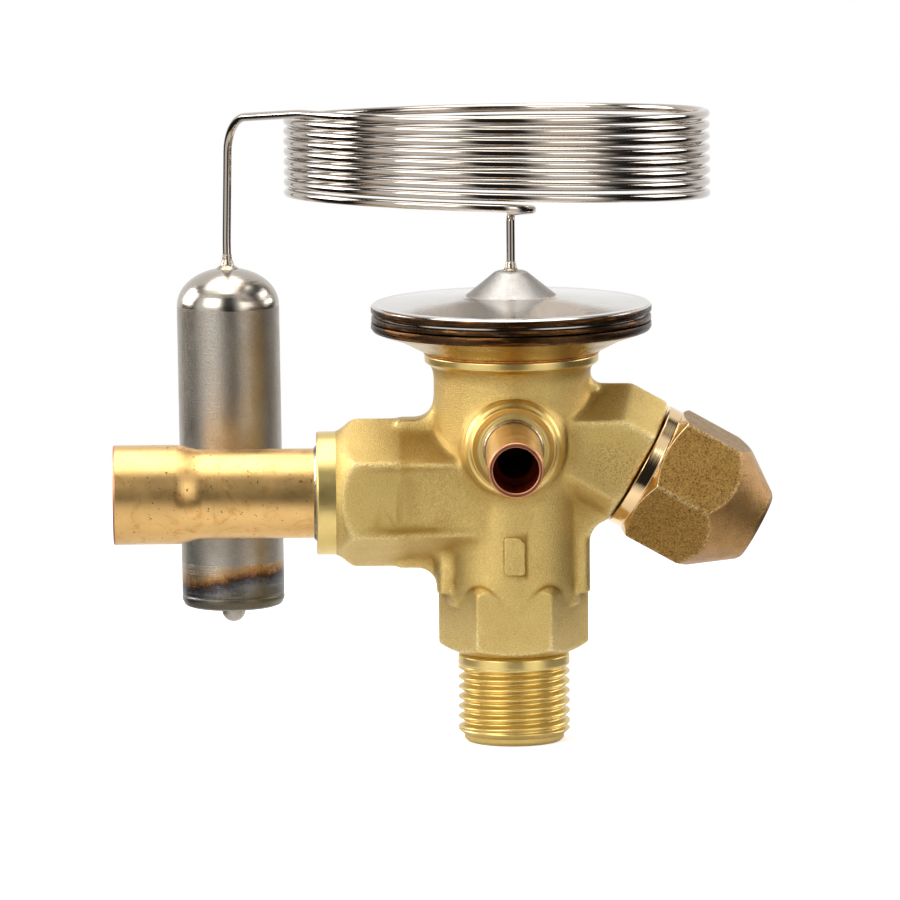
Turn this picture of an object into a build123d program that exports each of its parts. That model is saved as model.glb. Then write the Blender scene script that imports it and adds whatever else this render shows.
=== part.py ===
from build123d import *
from math import cos, radians, sin, sqrt, tan
import os

# Angle-pattern expansion valve with a diaphragm element, an external equalizer tube and a
# sensing bulb on a coiled capillary. Millimetres; +Z runs up the main axis from the inlet end.

# --- Inlet: 3/8 in. flare end, 5/8-18 thread --------------------------------------------
INLET_THREAD_DIA = 15.875
INLET_END_DIA = 14.1
INLET_END_BAND = 1.0
INLET_CHAMFER_TOP = 2.0
INLET_BORE_DIA = 10.6
INLET_BORE_DEPTH = 19.0

# --- Forged body -------------------------------------------------------------------------
HEX_ACROSS_FLATS = 18.5
HEX_LOW_CORNER = 14.0
HEX_TOP_RIDGE = 21.9
HEX_CHAMFER = 24
TRUNK_DIA = 19.4
TRUNK_WEB_WIDTH = 21.7
TRUNK_WEB_DEPTH = 9.0
TRUNK_WEB_EDGE = 1.5
NECK_DIA = 22.1
NECK_FOOT = 41.0
NECK_TOP = 53.4
BODY_TOP = 55.35
BODY_COLLAR_DIA = 24.6
BODY_COLLAR_LOW = 54.3

# --- Outlet arm, on the left -------------------------------------------------------------
ARM_HEIGHT = 35.55
ARM_END = 27.7
ARM_COLLAR_DIA = 17.4
ARM_COLLAR_LENGTH = 3.0
ARM_HEX_START = 15.4
ARM_HEX_FULL = 22.6
ARM_CORE_ACROSS = 17.8
ARM_WEB_DEPTH = 4.4
ARM_FILLET = 2.6
OUTLET_PASSAGE_DIA = 6.6
OUTLET_TUBE_DIA = 12.7
OUTLET_TUBE_WALL = 0.7
OUTLET_SOCKET_DIA = 12.8
OUTLET_SOCKET_OUTSIDE = 14.1
OUTLET_SOCKET_DEPTH = 9.6
OUTLET_END = 56.5
OUTLET_TUBE_SEAT = 18.7

# --- Adjusting boss, on the right, pointing down and out ----------------------------------
BOSS_TILT = 29.4
BOSS_FACE_X = 17.8
BOSS_FACE_Z = 39.5
BOSS_TOP, BOSS_UPPER_EDGE, BOSS_LOWER_EDGE, BOSS_UNDERSIDE = 9.6, 5.0, -6.7, -9.0
BOSS_HALF_WIDTH = 8.0
BOSS_UNDERSIDE_WIDTH = 8.0
BOSS_SHOULDER_X = 16.95
BOSS_DEPTH = 14.0
BOSS_EDGE = 0.6
SPIGOT_DIA = 12.7
SPIGOT_LENGTH = 8.0
GLAND_BORE_DIA = 7.2
GLAND_BORE_DEPTH = 6.0
SPINDLE_BORE_DIA = 4.6
CAP_TURN = 33.5

# --- Equalizer, to the front --------------------------------------------------------------
EQUALIZER_HEIGHT = 43.2
EQUALIZER_BOSS_DIA = 13.8
EQUALIZER_SPOT_DIA = 12.1
EQUALIZER_FACE = 13.6
EQUALIZER_TUBE_DIA = 7.9
EQUALIZER_SOCKET_DIA = 6.4
EQUALIZER_SOCKET_DEPTH = 9.0
EQUALIZER_TUBE_BORE = 4.8
EQUALIZER_TUBE_SEAT = 9.5
EQUALIZER_END = 35.0

# --- Chambers on the main axis --------------------------------------------------------------
NOZZLE_BORE_DIA = 8.2
CHAMBER_TOP = 38.0
ROD_HOLE_DIA = 3.0
SEAL_POCKET_DIA = 5.8
SEAL_POCKET_FLOOR = 39.6
SPRING_CHAMBER_DIA = 14.4
SPRING_CHAMBER_FLOOR = 42.7

# --- Diaphragm element --------------------------------------------------------------------
ELEMENT_DIA = 39.7
ELEMENT_RIM_LOW = 58.3
ELEMENT_RING_LOW = 59.9
ELEMENT_DIAPHRAGM = 60.9
DIAPHRAGM_THICKNESS = 0.2
ELEMENT_TOP = 62.4
ELEMENT_DOME = 63.4
CONE_FOOT_DIA = 12.8
CONE_TOP_DIA = 4.3
CONE_TOP = 67.0

# --- Capillary and bulb -------------------------------------------------------------------
CAPILLARY_DIA = 1.22
COIL_RADIUS = 29.7
COIL_X, COIL_Y = -1.66, 8.0
COIL_TILT = 3.8
COIL_TOP_LEFT, COIL_TOP_RIGHT = 87.08, 87.63
COIL_PITCH_LEFT, COIL_PITCH_RIGHT = 1.446, 1.608
COIL_FULL_TURNS = 8
STEM_TOP, STEM_BEND = 75.1, 1.8
LOOP_REACH, LOOP_BEND = 5.7, 4.4
LEAD_ANGLE = 61
LEAD_HEIGHT = 86.85
LEAD_BEND = 5.4
BULB_X, BULB_Y, BULB_MIDDLE = -39.93, 20.0, 41.0
BULB_LEAN = 0.5
BULB_DIA = 14.6
BULB_WALL = 0.7
BULB_LOW, BULB_WELD, BULB_TOP = 16.8, 18.6, 65.4
BULB_DOME = 5.3
BULB_TIP_DIA, BULB_TIP_MIDDLE = 3.4, 16.15

# --- Superheat spring and its adjustment ----------------------------------------------------
SEAT_LOW = 48.85
SEAT_THICKNESS = 1.2
SEAT_TOP = 52.4
PAD_LOW, PAD_TOP = 59.65, 60.85
PAD_DIA = 19.0
PUSH_ROD_DIA = 2.4
PUSH_ROD_LOW = 31.2
SPINDLE_DIA = 4.5
THRUST_RADIUS = 1.8
THRUST_DEPTH = 15.0
SPRING_WIRE = 1.5
SPRING_MEAN_RADIUS = 4.6

# --- Orifice cartridge --------------------------------------------------------------------
HOUSING_LOW, HOUSING_TOP = 17.0, 30.6
HOUSING_DIA = 8.0
HOUSING_FLANGE_DIA = 10.0
HOUSING_BORE_DIA = 5.8
ORIFICE_DIA = 2.6
ORIFICE_SEAT = 28.2
STRAINER_LOW = 2.0
STRAINER_DIA = 8.4
STRAINER_WALL = 0.35

RUNNING_GAP = 0.05
HEX_CORNER = 1 / cos(radians(30))

# Each place has its own +Z pointing out of the body.
ARM = Plane((0, 0, ARM_HEIGHT), x_dir=(0, 0, 1), z_dir=(-1, 0, 0)).location
EQUALIZER = Plane((0, 0, EQUALIZER_HEIGHT), x_dir=(1, 0, 0), z_dir=(0, -1, 0)).location
BOSS_OUT = Vector(cos(radians(BOSS_TILT)), 0, -sin(radians(BOSS_TILT)))
BOSS_UP = Vector(sin(radians(BOSS_TILT)), 0, cos(radians(BOSS_TILT)))
BOSS_FACE = Vector(BOSS_FACE_X, 0, BOSS_FACE_Z)
BOSS = Plane(BOSS_FACE, x_dir=BOSS_UP, z_dir=BOSS_OUT).location
BULB = Pos(BULB_X, BULB_Y, BULB_MIDDLE) * Rot(0, -BULB_LEAN, 0) * Pos(0, 0, -BULB_MIDDLE)


# --- Shared makers --------------------------------------------------------------------------
def turned(outline):
    """A turned solid from its (radius, height) outline."""
    points = [(radius, 0, height) for radius, height in outline]
    return revolve(make_face(Polyline(*points, close=True)), Axis.Z)


def disc(diameter, low, high):
    """A plain round bar or disc between two heights."""
    return Pos(0, 0, low) * Cylinder(diameter / 2, high - low, align=(Align.CENTER, Align.CENTER, Align.MIN))


def ring(outer, inner, low, high):
    """A flat ring between two heights."""
    return disc(outer, low, high) - disc(inner, low - 1, high + 1)


def torus(mean_diameter, wire, height):
    """A round-section seal ring."""
    return Pos(0, 0, height) * Torus(mean_diameter / 2, wire / 2)


def hexagon(across_flats, low, high, turn=0.0):
    """A hexagonal bar with its corners on the local X axis."""
    outline = RegularPolygon(across_flats / 2, 6, major_radius=False, rotation=turn)
    return Pos(0, 0, low) * extrude(outline, high - low)


def plate(outline, thickness):
    """A plate on the parting plane from an (x, z) outline."""
    return extrude(Plane.XZ * outline, thickness / 2, both=True)


def corner_fillet(x, z, radius, x_way, z_way):
    """Outline of the fill in an inside corner at (x, z) that opens the given ways."""
    root = 3.0
    size = radius + root
    middle = Pos(x + x_way * (radius - root) / 2, z + z_way * (radius - root) / 2)
    return middle * Rectangle(size, size) - Pos(x + x_way * radius, z + z_way * radius) * Circle(radius)


def half_turn(start, end, side):
    """Half a circle from start to end, bulging to one side, square to the chord."""
    middle = (start + end) / 2
    return ThreePointArc(start, middle + side * ((end - start).length / 2), end)


def wire_along(path, diameter):
    """Round wire that follows a path of tangent pieces."""
    section = Plane(path @ 0, z_dir=path % 0) * Circle(diameter / 2)
    return sweep(section, path=path)


def coil_spring(radius, wire, low, high, turns):
    """A compression spring with one closed turn at each end, built of half circles."""
    ends = wire * 1.02
    free = (high - low - wire - 2 * ends) / (turns - 2)
    heights = [low + wire / 2]
    for half in range(2 * turns):
        closed = half < 2 or half >= 2 * turns - 2
        heights.append(heights[-1] + (ends if closed else free) / 2)
    points = [Vector(radius * (-1) ** i, 0, height) for i, height in enumerate(heights)]
    arcs = [
        half_turn(a, b, Vector(0, (-1) ** i, 0))
        for i, (a, b) in enumerate(zip(points, points[1:]))
    ]
    return wire_along(Wire(arcs), wire)


# --- Body and its tubes ---------------------------------------------------------------------
def inlet_end():
    end, thread = INLET_END_DIA / 2, INLET_THREAD_DIA / 2
    edge = 0.5
    return turned(
        [(0, 0), (end - edge, 0), (end, edge), (end, INLET_END_BAND), (thread, INLET_CHAMFER_TOP)]
        + [(thread, HEX_LOW_CORNER), (0, HEX_LOW_CORNER)]
    )


def inlet_hex():
    """Hexagon above the thread; its corners are turned off below and die into the trunk above."""
    corner = HEX_ACROSS_FLATS / 2 * HEX_CORNER
    slope = tan(radians(HEX_CHAMFER))
    foot = INLET_THREAD_DIA / 2
    low = HEX_LOW_CORNER - (corner - foot) * slope
    high = HEX_TOP_RIDGE + corner - TRUNK_DIA / 2 + 0.3
    envelope = turned(
        [(0, low), (foot, low), (corner, HEX_LOW_CORNER), (corner, HEX_TOP_RIDGE)]
        + [(TRUNK_DIA / 2 - 0.3, high), (0, high)]
    )
    return hexagon(HEX_ACROSS_FLATS, low, high) & envelope


def trunk_and_neck():
    trunk, neck, collar = TRUNK_DIA / 2, NECK_DIA / 2, BODY_COLLAR_DIA / 2
    core = turned(
        [(0, HEX_LOW_CORNER + 1), (trunk, HEX_LOW_CORNER + 6), (trunk, ARM_HEIGHT), (neck, NECK_FOOT)]
        + [(neck, NECK_TOP), (collar, BODY_COLLAR_LOW), (collar, BODY_TOP), (0, BODY_TOP)]
    )
    web_low = HEX_TOP_RIDGE - 0.4
    web = Pos(0, 0, (web_low + NECK_FOOT) / 2) * Box(
        TRUNK_WEB_WIDTH, TRUNK_WEB_DEPTH, NECK_FOOT - web_low
    )
    web = fillet(web.edges().filter_by(Axis.Z), TRUNK_WEB_EDGE)
    return core + web


def outlet_arm():
    """Hexagonal arm, a little smaller near the trunk, with a rib on the parting plane."""
    corner = HEX_ACROSS_FLATS / 2 * HEX_CORNER
    step = (HEX_ACROSS_FLATS - ARM_CORE_ACROSS) / 2 * HEX_CORNER
    collar_radius = ARM_COLLAR_DIA / 2
    hex_end = ARM_END - ARM_COLLAR_LENGTH
    envelope = turned(
        [(0, ARM_HEX_START), (corner - step, ARM_HEX_START), (corner, ARM_HEX_START + 1.2)]
        + [(corner, ARM_HEX_FULL), (collar_radius, hex_end), (0, hex_end)]
    )
    hexed = hexagon(HEX_ACROSS_FLATS, ARM_HEX_START, hex_end) & envelope
    core = hexagon(ARM_CORE_ACROSS, 0, ARM_HEX_START + 1.0) + disc(ARM_COLLAR_DIA, hex_end, ARM_END)
    arm = ARM * (hexed + core)
    half, start = corner - 0.05, ARM_HEX_START + 1.2
    top, bottom = ARM_HEIGHT + half, ARM_HEIGHT - half
    neck, web = NECK_DIA / 2, TRUNK_WEB_WIDTH / 2
    outline = Pos(-start / 2, ARM_HEIGHT) * Rectangle(start, 2 * half)
    outline += corner_fillet(-neck, top, ARM_FILLET, -1, 1)
    outline += corner_fillet(-web, bottom, ARM_FILLET, -1, -1)
    rib = plate(outline, ARM_WEB_DEPTH)
    return arm + rib


def adjusting_boss():
    """An inclined prism on flat cheeks, levelled off above and stiffened by a gusset below."""
    side, foot = BOSS_HALF_WIDTH, BOSS_UNDERSIDE_WIDTH / 2
    top, upper, lower, under = BOSS_TOP, BOSS_UPPER_EDGE, BOSS_LOWER_EDGE, BOSS_UNDERSIDE
    outline = Polyline(
        (top, 0), (upper, side), (lower, side), (under, foot), (under, -foot), (lower, -side), (upper, -side),
        close=True,
    )
    envelope = turned(
        [(0, -BOSS_DEPTH), (top, -BOSS_DEPTH), (top, -BOSS_EDGE), (top - BOSS_EDGE, 0), (0, 0)]
    )
    prism = Pos(0, 0, -BOSS_DEPTH) * extrude(make_face(outline), BOSS_DEPTH)
    inclined = BOSS * (prism & envelope)
    shoulder_top = BOSS_FACE + BOSS_UP * top
    shoulder_z = shoulder_top.Z + (shoulder_top.X - BOSS_SHOULDER_X) * tan(radians(BOSS_TILT))
    eaves = shoulder_z - (top - upper)
    reach = BOSS_FACE_X + BOSS_DEPTH
    roof_outline = Polyline((0, shoulder_z), (side, eaves), (side, 0), (-side, 0), (-side, eaves), close=True)
    roof = extrude(Plane.YZ * make_face(roof_outline), reach)
    inclined = inclined & roof
    gusset_outline = Polyline(
        (0, 29.7), (10.9, 29.7), (11.8, 31.1), (13.7, 32.1), (12.4, 34.5), (0, 34.5), close=True
    )
    gusset = plate(make_face(gusset_outline), 9.0)
    neck_fillet = plate(corner_fillet(NECK_DIA / 2, shoulder_z, 1.1, 1, 1), 4.4)
    spigot = BOSS * disc(SPIGOT_DIA, -1, SPIGOT_LENGTH)
    return inclined + gusset + neck_fillet + spigot


def equalizer_boss():
    boss, spot, tube = EQUALIZER_BOSS_DIA / 2, EQUALIZER_SPOT_DIA / 2, EQUALIZER_TUBE_DIA / 2
    face = EQUALIZER_FACE
    return EQUALIZER * turned(
        [(0, 0), (boss + 0.5, 0), (boss + 0.5, 9.5), (boss, 10.6), (boss - 0.5, face - 1.4), (spot, face - 1.2)]
        + [(spot, face - 0.5), (spot - 0.5, face), (tube - 0.5, face), (0, face)]
    )


def valve_body():
    outside = inlet_end() + inlet_hex() + trunk_and_neck() + outlet_arm() + adjusting_boss() + equalizer_boss()
    pad_centre = (0.1, -TRUNK_DIA / 2 + 0.7, 27.6)
    outside += Pos(pad_centre) * Box(3.1, 2.0, 5.5)
    bores = disc(INLET_BORE_DIA, -1, INLET_BORE_DEPTH) + disc(NOZZLE_BORE_DIA, 0, ARM_HEIGHT)
    bores += disc(NOZZLE_BORE_DIA, ARM_HEIGHT, CHAMBER_TOP)
    bores += disc(ROD_HOLE_DIA, ARM_HEIGHT, SPRING_CHAMBER_FLOOR + 1)
    bores += disc(SEAL_POCKET_DIA, SEAL_POCKET_FLOOR, SPRING_CHAMBER_FLOOR + 1)
    bores += disc(SPRING_CHAMBER_DIA, SPRING_CHAMBER_FLOOR, BODY_TOP + 1)
    bores += ARM * (
        disc(OUTLET_PASSAGE_DIA, 0, ARM_END + 1) + disc(OUTLET_TUBE_DIA, OUTLET_TUBE_SEAT, ARM_END + 1)
    )
    bores += EQUALIZER * (
        disc(EQUALIZER_TUBE_BORE, 6.0, EQUALIZER_FACE + 1)
        + disc(EQUALIZER_TUBE_DIA, EQUALIZER_TUBE_SEAT, EQUALIZER_FACE + 1)
    )
    bores += BOSS * (
        disc(GLAND_BORE_DIA, -GLAND_BORE_DEPTH, SPIGOT_LENGTH + 1) + disc(SPINDLE_BORE_DIA, -16.0, 0)
    )
    return outside - bores


def outlet_tube():
    """Copper tube with its free end expanded into a solder socket."""
    outer, socket = OUTLET_TUBE_DIA / 2, OUTLET_SOCKET_DIA / 2
    inner, big = outer - OUTLET_TUBE_WALL, OUTLET_SOCKET_OUTSIDE / 2
    floor = OUTLET_END - OUTLET_SOCKET_DEPTH
    taper = 1.9
    return ARM * turned(
        [(inner, OUTLET_TUBE_SEAT), (outer, OUTLET_TUBE_SEAT), (outer, floor - taper), (big, floor)]
        + [(big, OUTLET_END), (socket, OUTLET_END), (socket, floor), (inner, floor - taper)]
    )


def outlet_braze():
    outer = OUTLET_TUBE_DIA / 2
    return ARM * turned([(outer, ARM_END), (outer + 0.4, ARM_END), (outer, ARM_END + 0.5)])


def equalizer_tube():
    outer, socket, bore = EQUALIZER_TUBE_DIA / 2, EQUALIZER_SOCKET_DIA / 2, EQUALIZER_TUBE_BORE / 2
    floor = EQUALIZER_END - EQUALIZER_SOCKET_DEPTH
    return EQUALIZER * turned(
        [(bore, EQUALIZER_TUBE_SEAT), (outer, EQUALIZER_TUBE_SEAT), (outer, EQUALIZER_END - 0.2)]
        + [(outer - 0.2, EQUALIZER_END), (socket, EQUALIZER_END), (socket, floor), (bore, floor - 0.8)]
    )


def equalizer_braze():
    outer = EQUALIZER_TUBE_DIA / 2
    face = EQUALIZER_FACE
    return EQUALIZER * turned([(outer, face), (outer + 0.5, face), (outer + 0.4, face + 0.35), (outer, face + 0.7)])


# --- Diaphragm element ----------------------------------------------------------------------
def element_base():
    """Pressed dish that carries the diaphragm and sits brazed on the body."""
    rim, low, high = ELEMENT_DIA / 2, ELEMENT_RIM_LOW, ELEMENT_RING_LOW
    foot = BODY_TOP + 0.25
    return turned(
        [(6.9, foot), (12.4, foot), (13.0, foot + 0.35), (15.9, 57.4), (rim - 1.2, low), (rim - 0.3, low + 0.35)]
        + [(rim, low + 0.8), (rim - 0.1, high), (17.0, high), (15.0, 58.6), (10.2, 56.9), (6.9, 56.7)]
    )


def element_braze():
    return ring(24.7, 2 * 7.6, BODY_TOP, BODY_TOP + 0.25)


def diaphragm_ring():
    rim, low, high = ELEMENT_DIA / 2 - 0.15, ELEMENT_RING_LOW, ELEMENT_DIAPHRAGM
    return turned(
        [(17.2, low), (rim - 0.3, low), (rim, low + 0.3), (rim, high - 0.3), (rim - 0.3, high), (17.2, high)]
    )


def diaphragm():
    """Thin disc with three pressed ripples and a flat middle."""
    low = ELEMENT_DIAPHRAGM
    ripple, pitch, first, count = 0.35, 1.2, 10.4, 3
    lower = [(0, low), (first, low)]
    for k in range(count):
        start = first + 2 * k * pitch
        lower += [(start + pitch / 2, low + ripple), (start + pitch, low + ripple)]
        lower += [(start + 1.5 * pitch, low), (start + 2 * pitch, low)]
    lower.append((19.3, low))
    upper = [(radius, height + DIAPHRAGM_THICKNESS) for radius, height in reversed(lower)]
    return turned(lower + upper)


def element_cover():
    """Cover plate with a low dome, a rounded rim and the drawn cone that holds the capillary."""
    rim, low, high = ELEMENT_DIA / 2, ELEMENT_DIAPHRAGM + DIAPHRAGM_THICKNESS, ELEMENT_TOP
    foot, top, hole = CONE_FOOT_DIA / 2, CONE_TOP_DIA / 2, CAPILLARY_DIA / 2
    return turned(
        [(hole, 62.4), (8.0, 62.2), (16.6, 61.7), (17.2, low), (rim - 0.3, low), (rim, low + 0.3)]
        + [(rim, high - 0.3), (rim - 0.35, high), (rim - 1.5, high), (foot + 1.2, ELEMENT_DOME)]
        + [(foot, ELEMENT_DOME + 0.15), (foot - 0.9, ELEMENT_DOME + 0.75), (top + 0.2, CONE_TOP - 0.2)]
        + [(top - 0.3, CONE_TOP), (hole, CONE_TOP)]
    )


def capillary_collar():
    """Fillet of braze where the capillary leaves the cone."""
    hole = CAPILLARY_DIA / 2
    return turned([(hole, CONE_TOP), (1.2, CONE_TOP), (0.75, CONE_TOP + 0.6), (hole, CONE_TOP + 1.4)])


# --- Capillary and bulb ---------------------------------------------------------------------
def capillary_path():
    """Stem, small loop, coil, lead and drop to the bulb, every piece tangent to the next."""
    tilt = radians(COIL_TILT)
    back = Vector(0, cos(tilt), -sin(tilt))
    rise = Vector(0, sin(tilt), cos(tilt))
    centre = Vector(COIL_X, COIL_Y, 0)

    def side_point(side, height):
        """Extreme point of the coil on one side, on the tilted coil's axis plane."""
        return centre + Vector(side * COIL_RADIUS, 0, 0) + rise * (height / cos(tilt))

    left = [side_point(-1, COIL_TOP_LEFT - k * COIL_PITCH_LEFT) for k in range(COIL_FULL_TURNS)]
    right = [side_point(1, COIL_TOP_RIGHT - k * COIL_PITCH_RIGHT) for k in range(COIL_FULL_TURNS + 1)]
    lead_left = side_point(-1, COIL_TOP_LEFT + COIL_PITCH_LEFT)

    last_left, next_right = left[-1], right[-1]
    middle = (last_left + next_right) / 2
    reach = (last_left - next_right).length / 2
    level = (last_left - next_right).normalized()
    front = middle - back * reach
    loop_corner = front - level * LOOP_REACH
    stem_foot, stem_top = Vector(0, 0, CONE_TOP - 2.5), Vector(0, 0, STEM_TOP)
    pieces = [FilletPolyline(stem_foot, stem_top, loop_corner, front, radius=[STEM_BEND, LOOP_BEND])]
    eighth = middle + (level - back) * (reach / sqrt(2))
    pieces.append(ThreePointArc(front, eighth, last_left))
    for k in range(COIL_FULL_TURNS - 1, -1, -1):
        pieces.append(half_turn(left[k], right[k], back))
        if k:
            pieces.append(half_turn(right[k], left[k - 1], -back))
    middle = (right[0] + lead_left) / 2
    across = (lead_left - right[0]) / 2
    outward = -back * across.length

    def round_front(angle):
        """Point of the top front strand, at an angle from its front towards the left."""
        turn = radians(angle)
        return middle + across * sin(turn) + outward * cos(turn)

    leave = round_front(LEAD_ANGLE)
    pieces.append(ThreePointArc(right[0], round_front((LEAD_ANGLE - 90) / 2), leave))
    turn = radians(LEAD_ANGLE)
    heading = (across * cos(turn) - outward * sin(turn)).normalized()
    over_bulb = Vector(BULB_X + 0.1, BULB_Y, LEAD_HEIGHT)
    drop = [(BULB * Pos(0, 0, BULB_TOP + above)).position for above in (4.0, -1.5)]
    pieces.append(
        FilletPolyline(leave, leave + heading * 4, over_bulb, *drop, radius=[50, LEAD_BEND, 50])
    )
    edges = [edge for piece in pieces for edge in piece.edges()]
    return Wire(edges)


def capillary_tube():
    return wire_along(capillary_path(), CAPILLARY_DIA)


def bulb_shell():
    """Deep-drawn can with a domed top, open at its foot."""
    radius, wall = BULB_DIA / 2, BULB_WALL
    shoulder = BULB_TOP - BULB_DOME
    hole = CAPILLARY_DIA / 2
    dome = Pos(0, 0, shoulder) * scale(Sphere(radius), (1, 1, BULB_DOME / radius))
    cavity = Pos(0, 0, shoulder) * scale(Sphere(radius - wall), (1, 1, (BULB_DOME - wall) / (radius - wall)))
    outside = disc(BULB_DIA, BULB_WELD, shoulder) + dome
    inside = disc(BULB_DIA - 2 * wall, BULB_WELD - 1, shoulder) + cavity
    return BULB * (outside - inside - disc(2 * hole, shoulder, BULB_TOP + 1))


def bulb_end_cap():
    radius, inner = BULB_DIA / 2, BULB_DIA / 2 - BULB_WALL
    edge = 1.1
    low, weld = BULB_LOW, BULB_WELD
    tip = BULB_TIP_DIA / 2
    return BULB * turned(
        [(0, low), (radius - edge, low), (radius - 0.3 * edge, low + 0.3 * edge), (radius, low + edge)]
        + [(radius, weld), (inner, weld), (inner, weld + 1.2), (inner - 1.0, weld + 1.2), (inner - 1.0, low + 1)]
        + [(0, low + 1)]
    ) - BULB * Pos(0, 0, BULB_TIP_MIDDLE) * Sphere(tip)


def charge_tip():
    """Sealed stub of the filling tube: a small ball under the bulb."""
    tip = BULB_TIP_DIA / 2
    ball = Pos(0, 0, BULB_TIP_MIDDLE) * Sphere(tip)
    return BULB * ball


def bulb_collar():
    hole = CAPILLARY_DIA / 2
    top = BULB_TOP
    body = turned([(hole, top - 0.7), (1.9, top - 0.7), (1.0, top + 0.4), (0.75, top + 1.1), (hole, top + 2.0)])
    radius = BULB_DIA / 2
    shoulder = BULB_TOP - BULB_DOME
    dome = Pos(0, 0, shoulder) * scale(Sphere(radius), (1, 1, BULB_DOME / radius))
    return BULB * (body - dome)


# --- Working parts under the diaphragm --------------------------------------------------------
def pressure_pad():
    rod = PUSH_ROD_DIA / 2
    return turned(
        [(0, PAD_TOP), (PAD_DIA / 2, PAD_TOP), (PAD_DIA / 2, PAD_LOW), (3.5, PAD_LOW), (3.5, PAD_LOW - 2)]
        + [(rod, PAD_LOW - 2), (rod, PAD_LOW), (0, PAD_LOW)]
    )


def push_rod():
    rod, tip = PUSH_ROD_DIA / 2, 0.8
    return turned(
        [(0, PUSH_ROD_LOW), (tip, PUSH_ROD_LOW), (tip, 33.4), (rod, 33.8), (rod, PAD_LOW), (0, PAD_LOW)]
    )


def guide_bush():
    bore, pocket = PUSH_ROD_DIA / 2 + RUNNING_GAP, SEAL_POCKET_DIA / 2
    floor = SPRING_CHAMBER_FLOOR
    return turned(
        [(bore, floor - 1.4), (pocket, floor - 1.4), (pocket, floor), (4.4, floor), (4.4, floor + 1)]
        + [(bore, floor + 1)]
    )


def rod_seal():
    return torus(4.1, 1.6, SEAL_POCKET_FLOOR + 0.85)


def spring_seat():
    """Cup that carries the spring and is lifted by the thrust button."""
    outer, inner = SPRING_CHAMBER_DIA / 2 - 2 * RUNNING_GAP, 6.2
    hole, floor = 1.7, SEAT_LOW + SEAT_THICKNESS
    return turned(
        [(hole, SEAT_LOW), (outer, SEAT_LOW), (outer, SEAT_TOP), (inner, SEAT_TOP), (inner, floor), (hole, floor)]
    )


def superheat_spring():
    return coil_spring(SPRING_MEAN_RADIUS, SPRING_WIRE, SEAT_LOW + SEAT_THICKNESS, PAD_LOW, 5)


def thrust_button():
    """Domed button on the inner end of the spindle; it slides under the spring seat."""
    dome = Pos(0, 0, -THRUST_DEPTH) * Sphere(THRUST_RADIUS, arc_size2=0)
    shank = disc(2 * THRUST_RADIUS, -THRUST_DEPTH, -THRUST_DEPTH + 1.6)
    return BOSS * (dome + shank)


def adjusting_spindle():
    """Threaded spindle with a square end and a slot for turning it."""
    radius, neck = SPINDLE_DIA / 2, THRUST_RADIUS
    inner, shoulder, square_low, end = -THRUST_DEPTH + 1.6, -8.9, 4.0, 10.0
    stem = disc(2 * neck, inner, shoulder) + disc(2 * radius, shoulder, square_low)
    square = Pos(0, 0, (square_low + end) / 2) * Box(3.2, 3.2, end - square_low)
    square = chamfer(square.faces().sort_by(Axis.Z)[-1].edges(), 0.3)
    slot = Pos(0, 0, end) * Box(0.7, 5, 1.8)
    return BOSS * (stem + square - slot)


def spindle_gland():
    bore, outer = SPINDLE_DIA / 2 + RUNNING_GAP, GLAND_BORE_DIA / 2
    inner_end, end = -GLAND_BORE_DEPTH + 2.0, SPIGOT_LENGTH - 1.0
    gland = ring(2 * outer, 2 * bore, inner_end, end)
    slot = Pos(0, 0, end) * Box(1.0, 10, 2.0)
    return BOSS * (gland - slot)


def spindle_seal():
    return BOSS * torus(5.9, 1.2, -GLAND_BORE_DEPTH + 1.2)


def seal_cap():
    """Hexagonal cap nut with a turned collar and a conical nose."""
    across, collar, nose = 18.45, 18.4, 10.3
    collar_low, hex_low, full_hex, nose_low, end = 0.35, 2.1, 3.7, 11.2, 19.1
    corner = across / 2 * HEX_CORNER
    envelope = turned(
        [(0, hex_low), (collar / 2, hex_low), (corner, full_hex), (corner, nose_low)]
        + [(nose / 2 + 0.4, end - 0.5), (nose / 2 - 0.2, end), (0, end)]
    )
    outside = hexagon(across, hex_low, end, CAP_TURN) & envelope
    outside += disc(collar, collar_low, hex_low)
    inside = disc(SPIGOT_DIA + 2 * RUNNING_GAP, 0, SPIGOT_LENGTH + 0.9) + disc(7.0, SPIGOT_LENGTH, 14.5)
    return BOSS * (outside - inside)


def cap_gasket():
    return BOSS * ring(12.4, 7.6, SPIGOT_LENGTH, SPIGOT_LENGTH + 0.9)


# --- Orifice cartridge ------------------------------------------------------------------------
def orifice_housing():
    outer, flange, bore = HOUSING_DIA / 2, HOUSING_FLANGE_DIA / 2, HOUSING_BORE_DIA / 2
    throat = ORIFICE_DIA / 2
    shoulder = INLET_BORE_DEPTH - 0.6
    return turned(
        [(bore, HOUSING_LOW), (flange, HOUSING_LOW), (flange, shoulder), (outer, shoulder), (outer, HOUSING_TOP - 0.8)]
        + [(outer - 0.8, HOUSING_TOP), (throat + 0.5, HOUSING_TOP), (throat, HOUSING_TOP - 0.5)]
        + [(throat, ORIFICE_SEAT), (bore, ORIFICE_SEAT)]
    )


def orifice_gasket():
    return ring(INLET_BORE_DIA - 0.3, HOUSING_DIA, INLET_BORE_DEPTH - 0.6, INLET_BORE_DEPTH)


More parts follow.
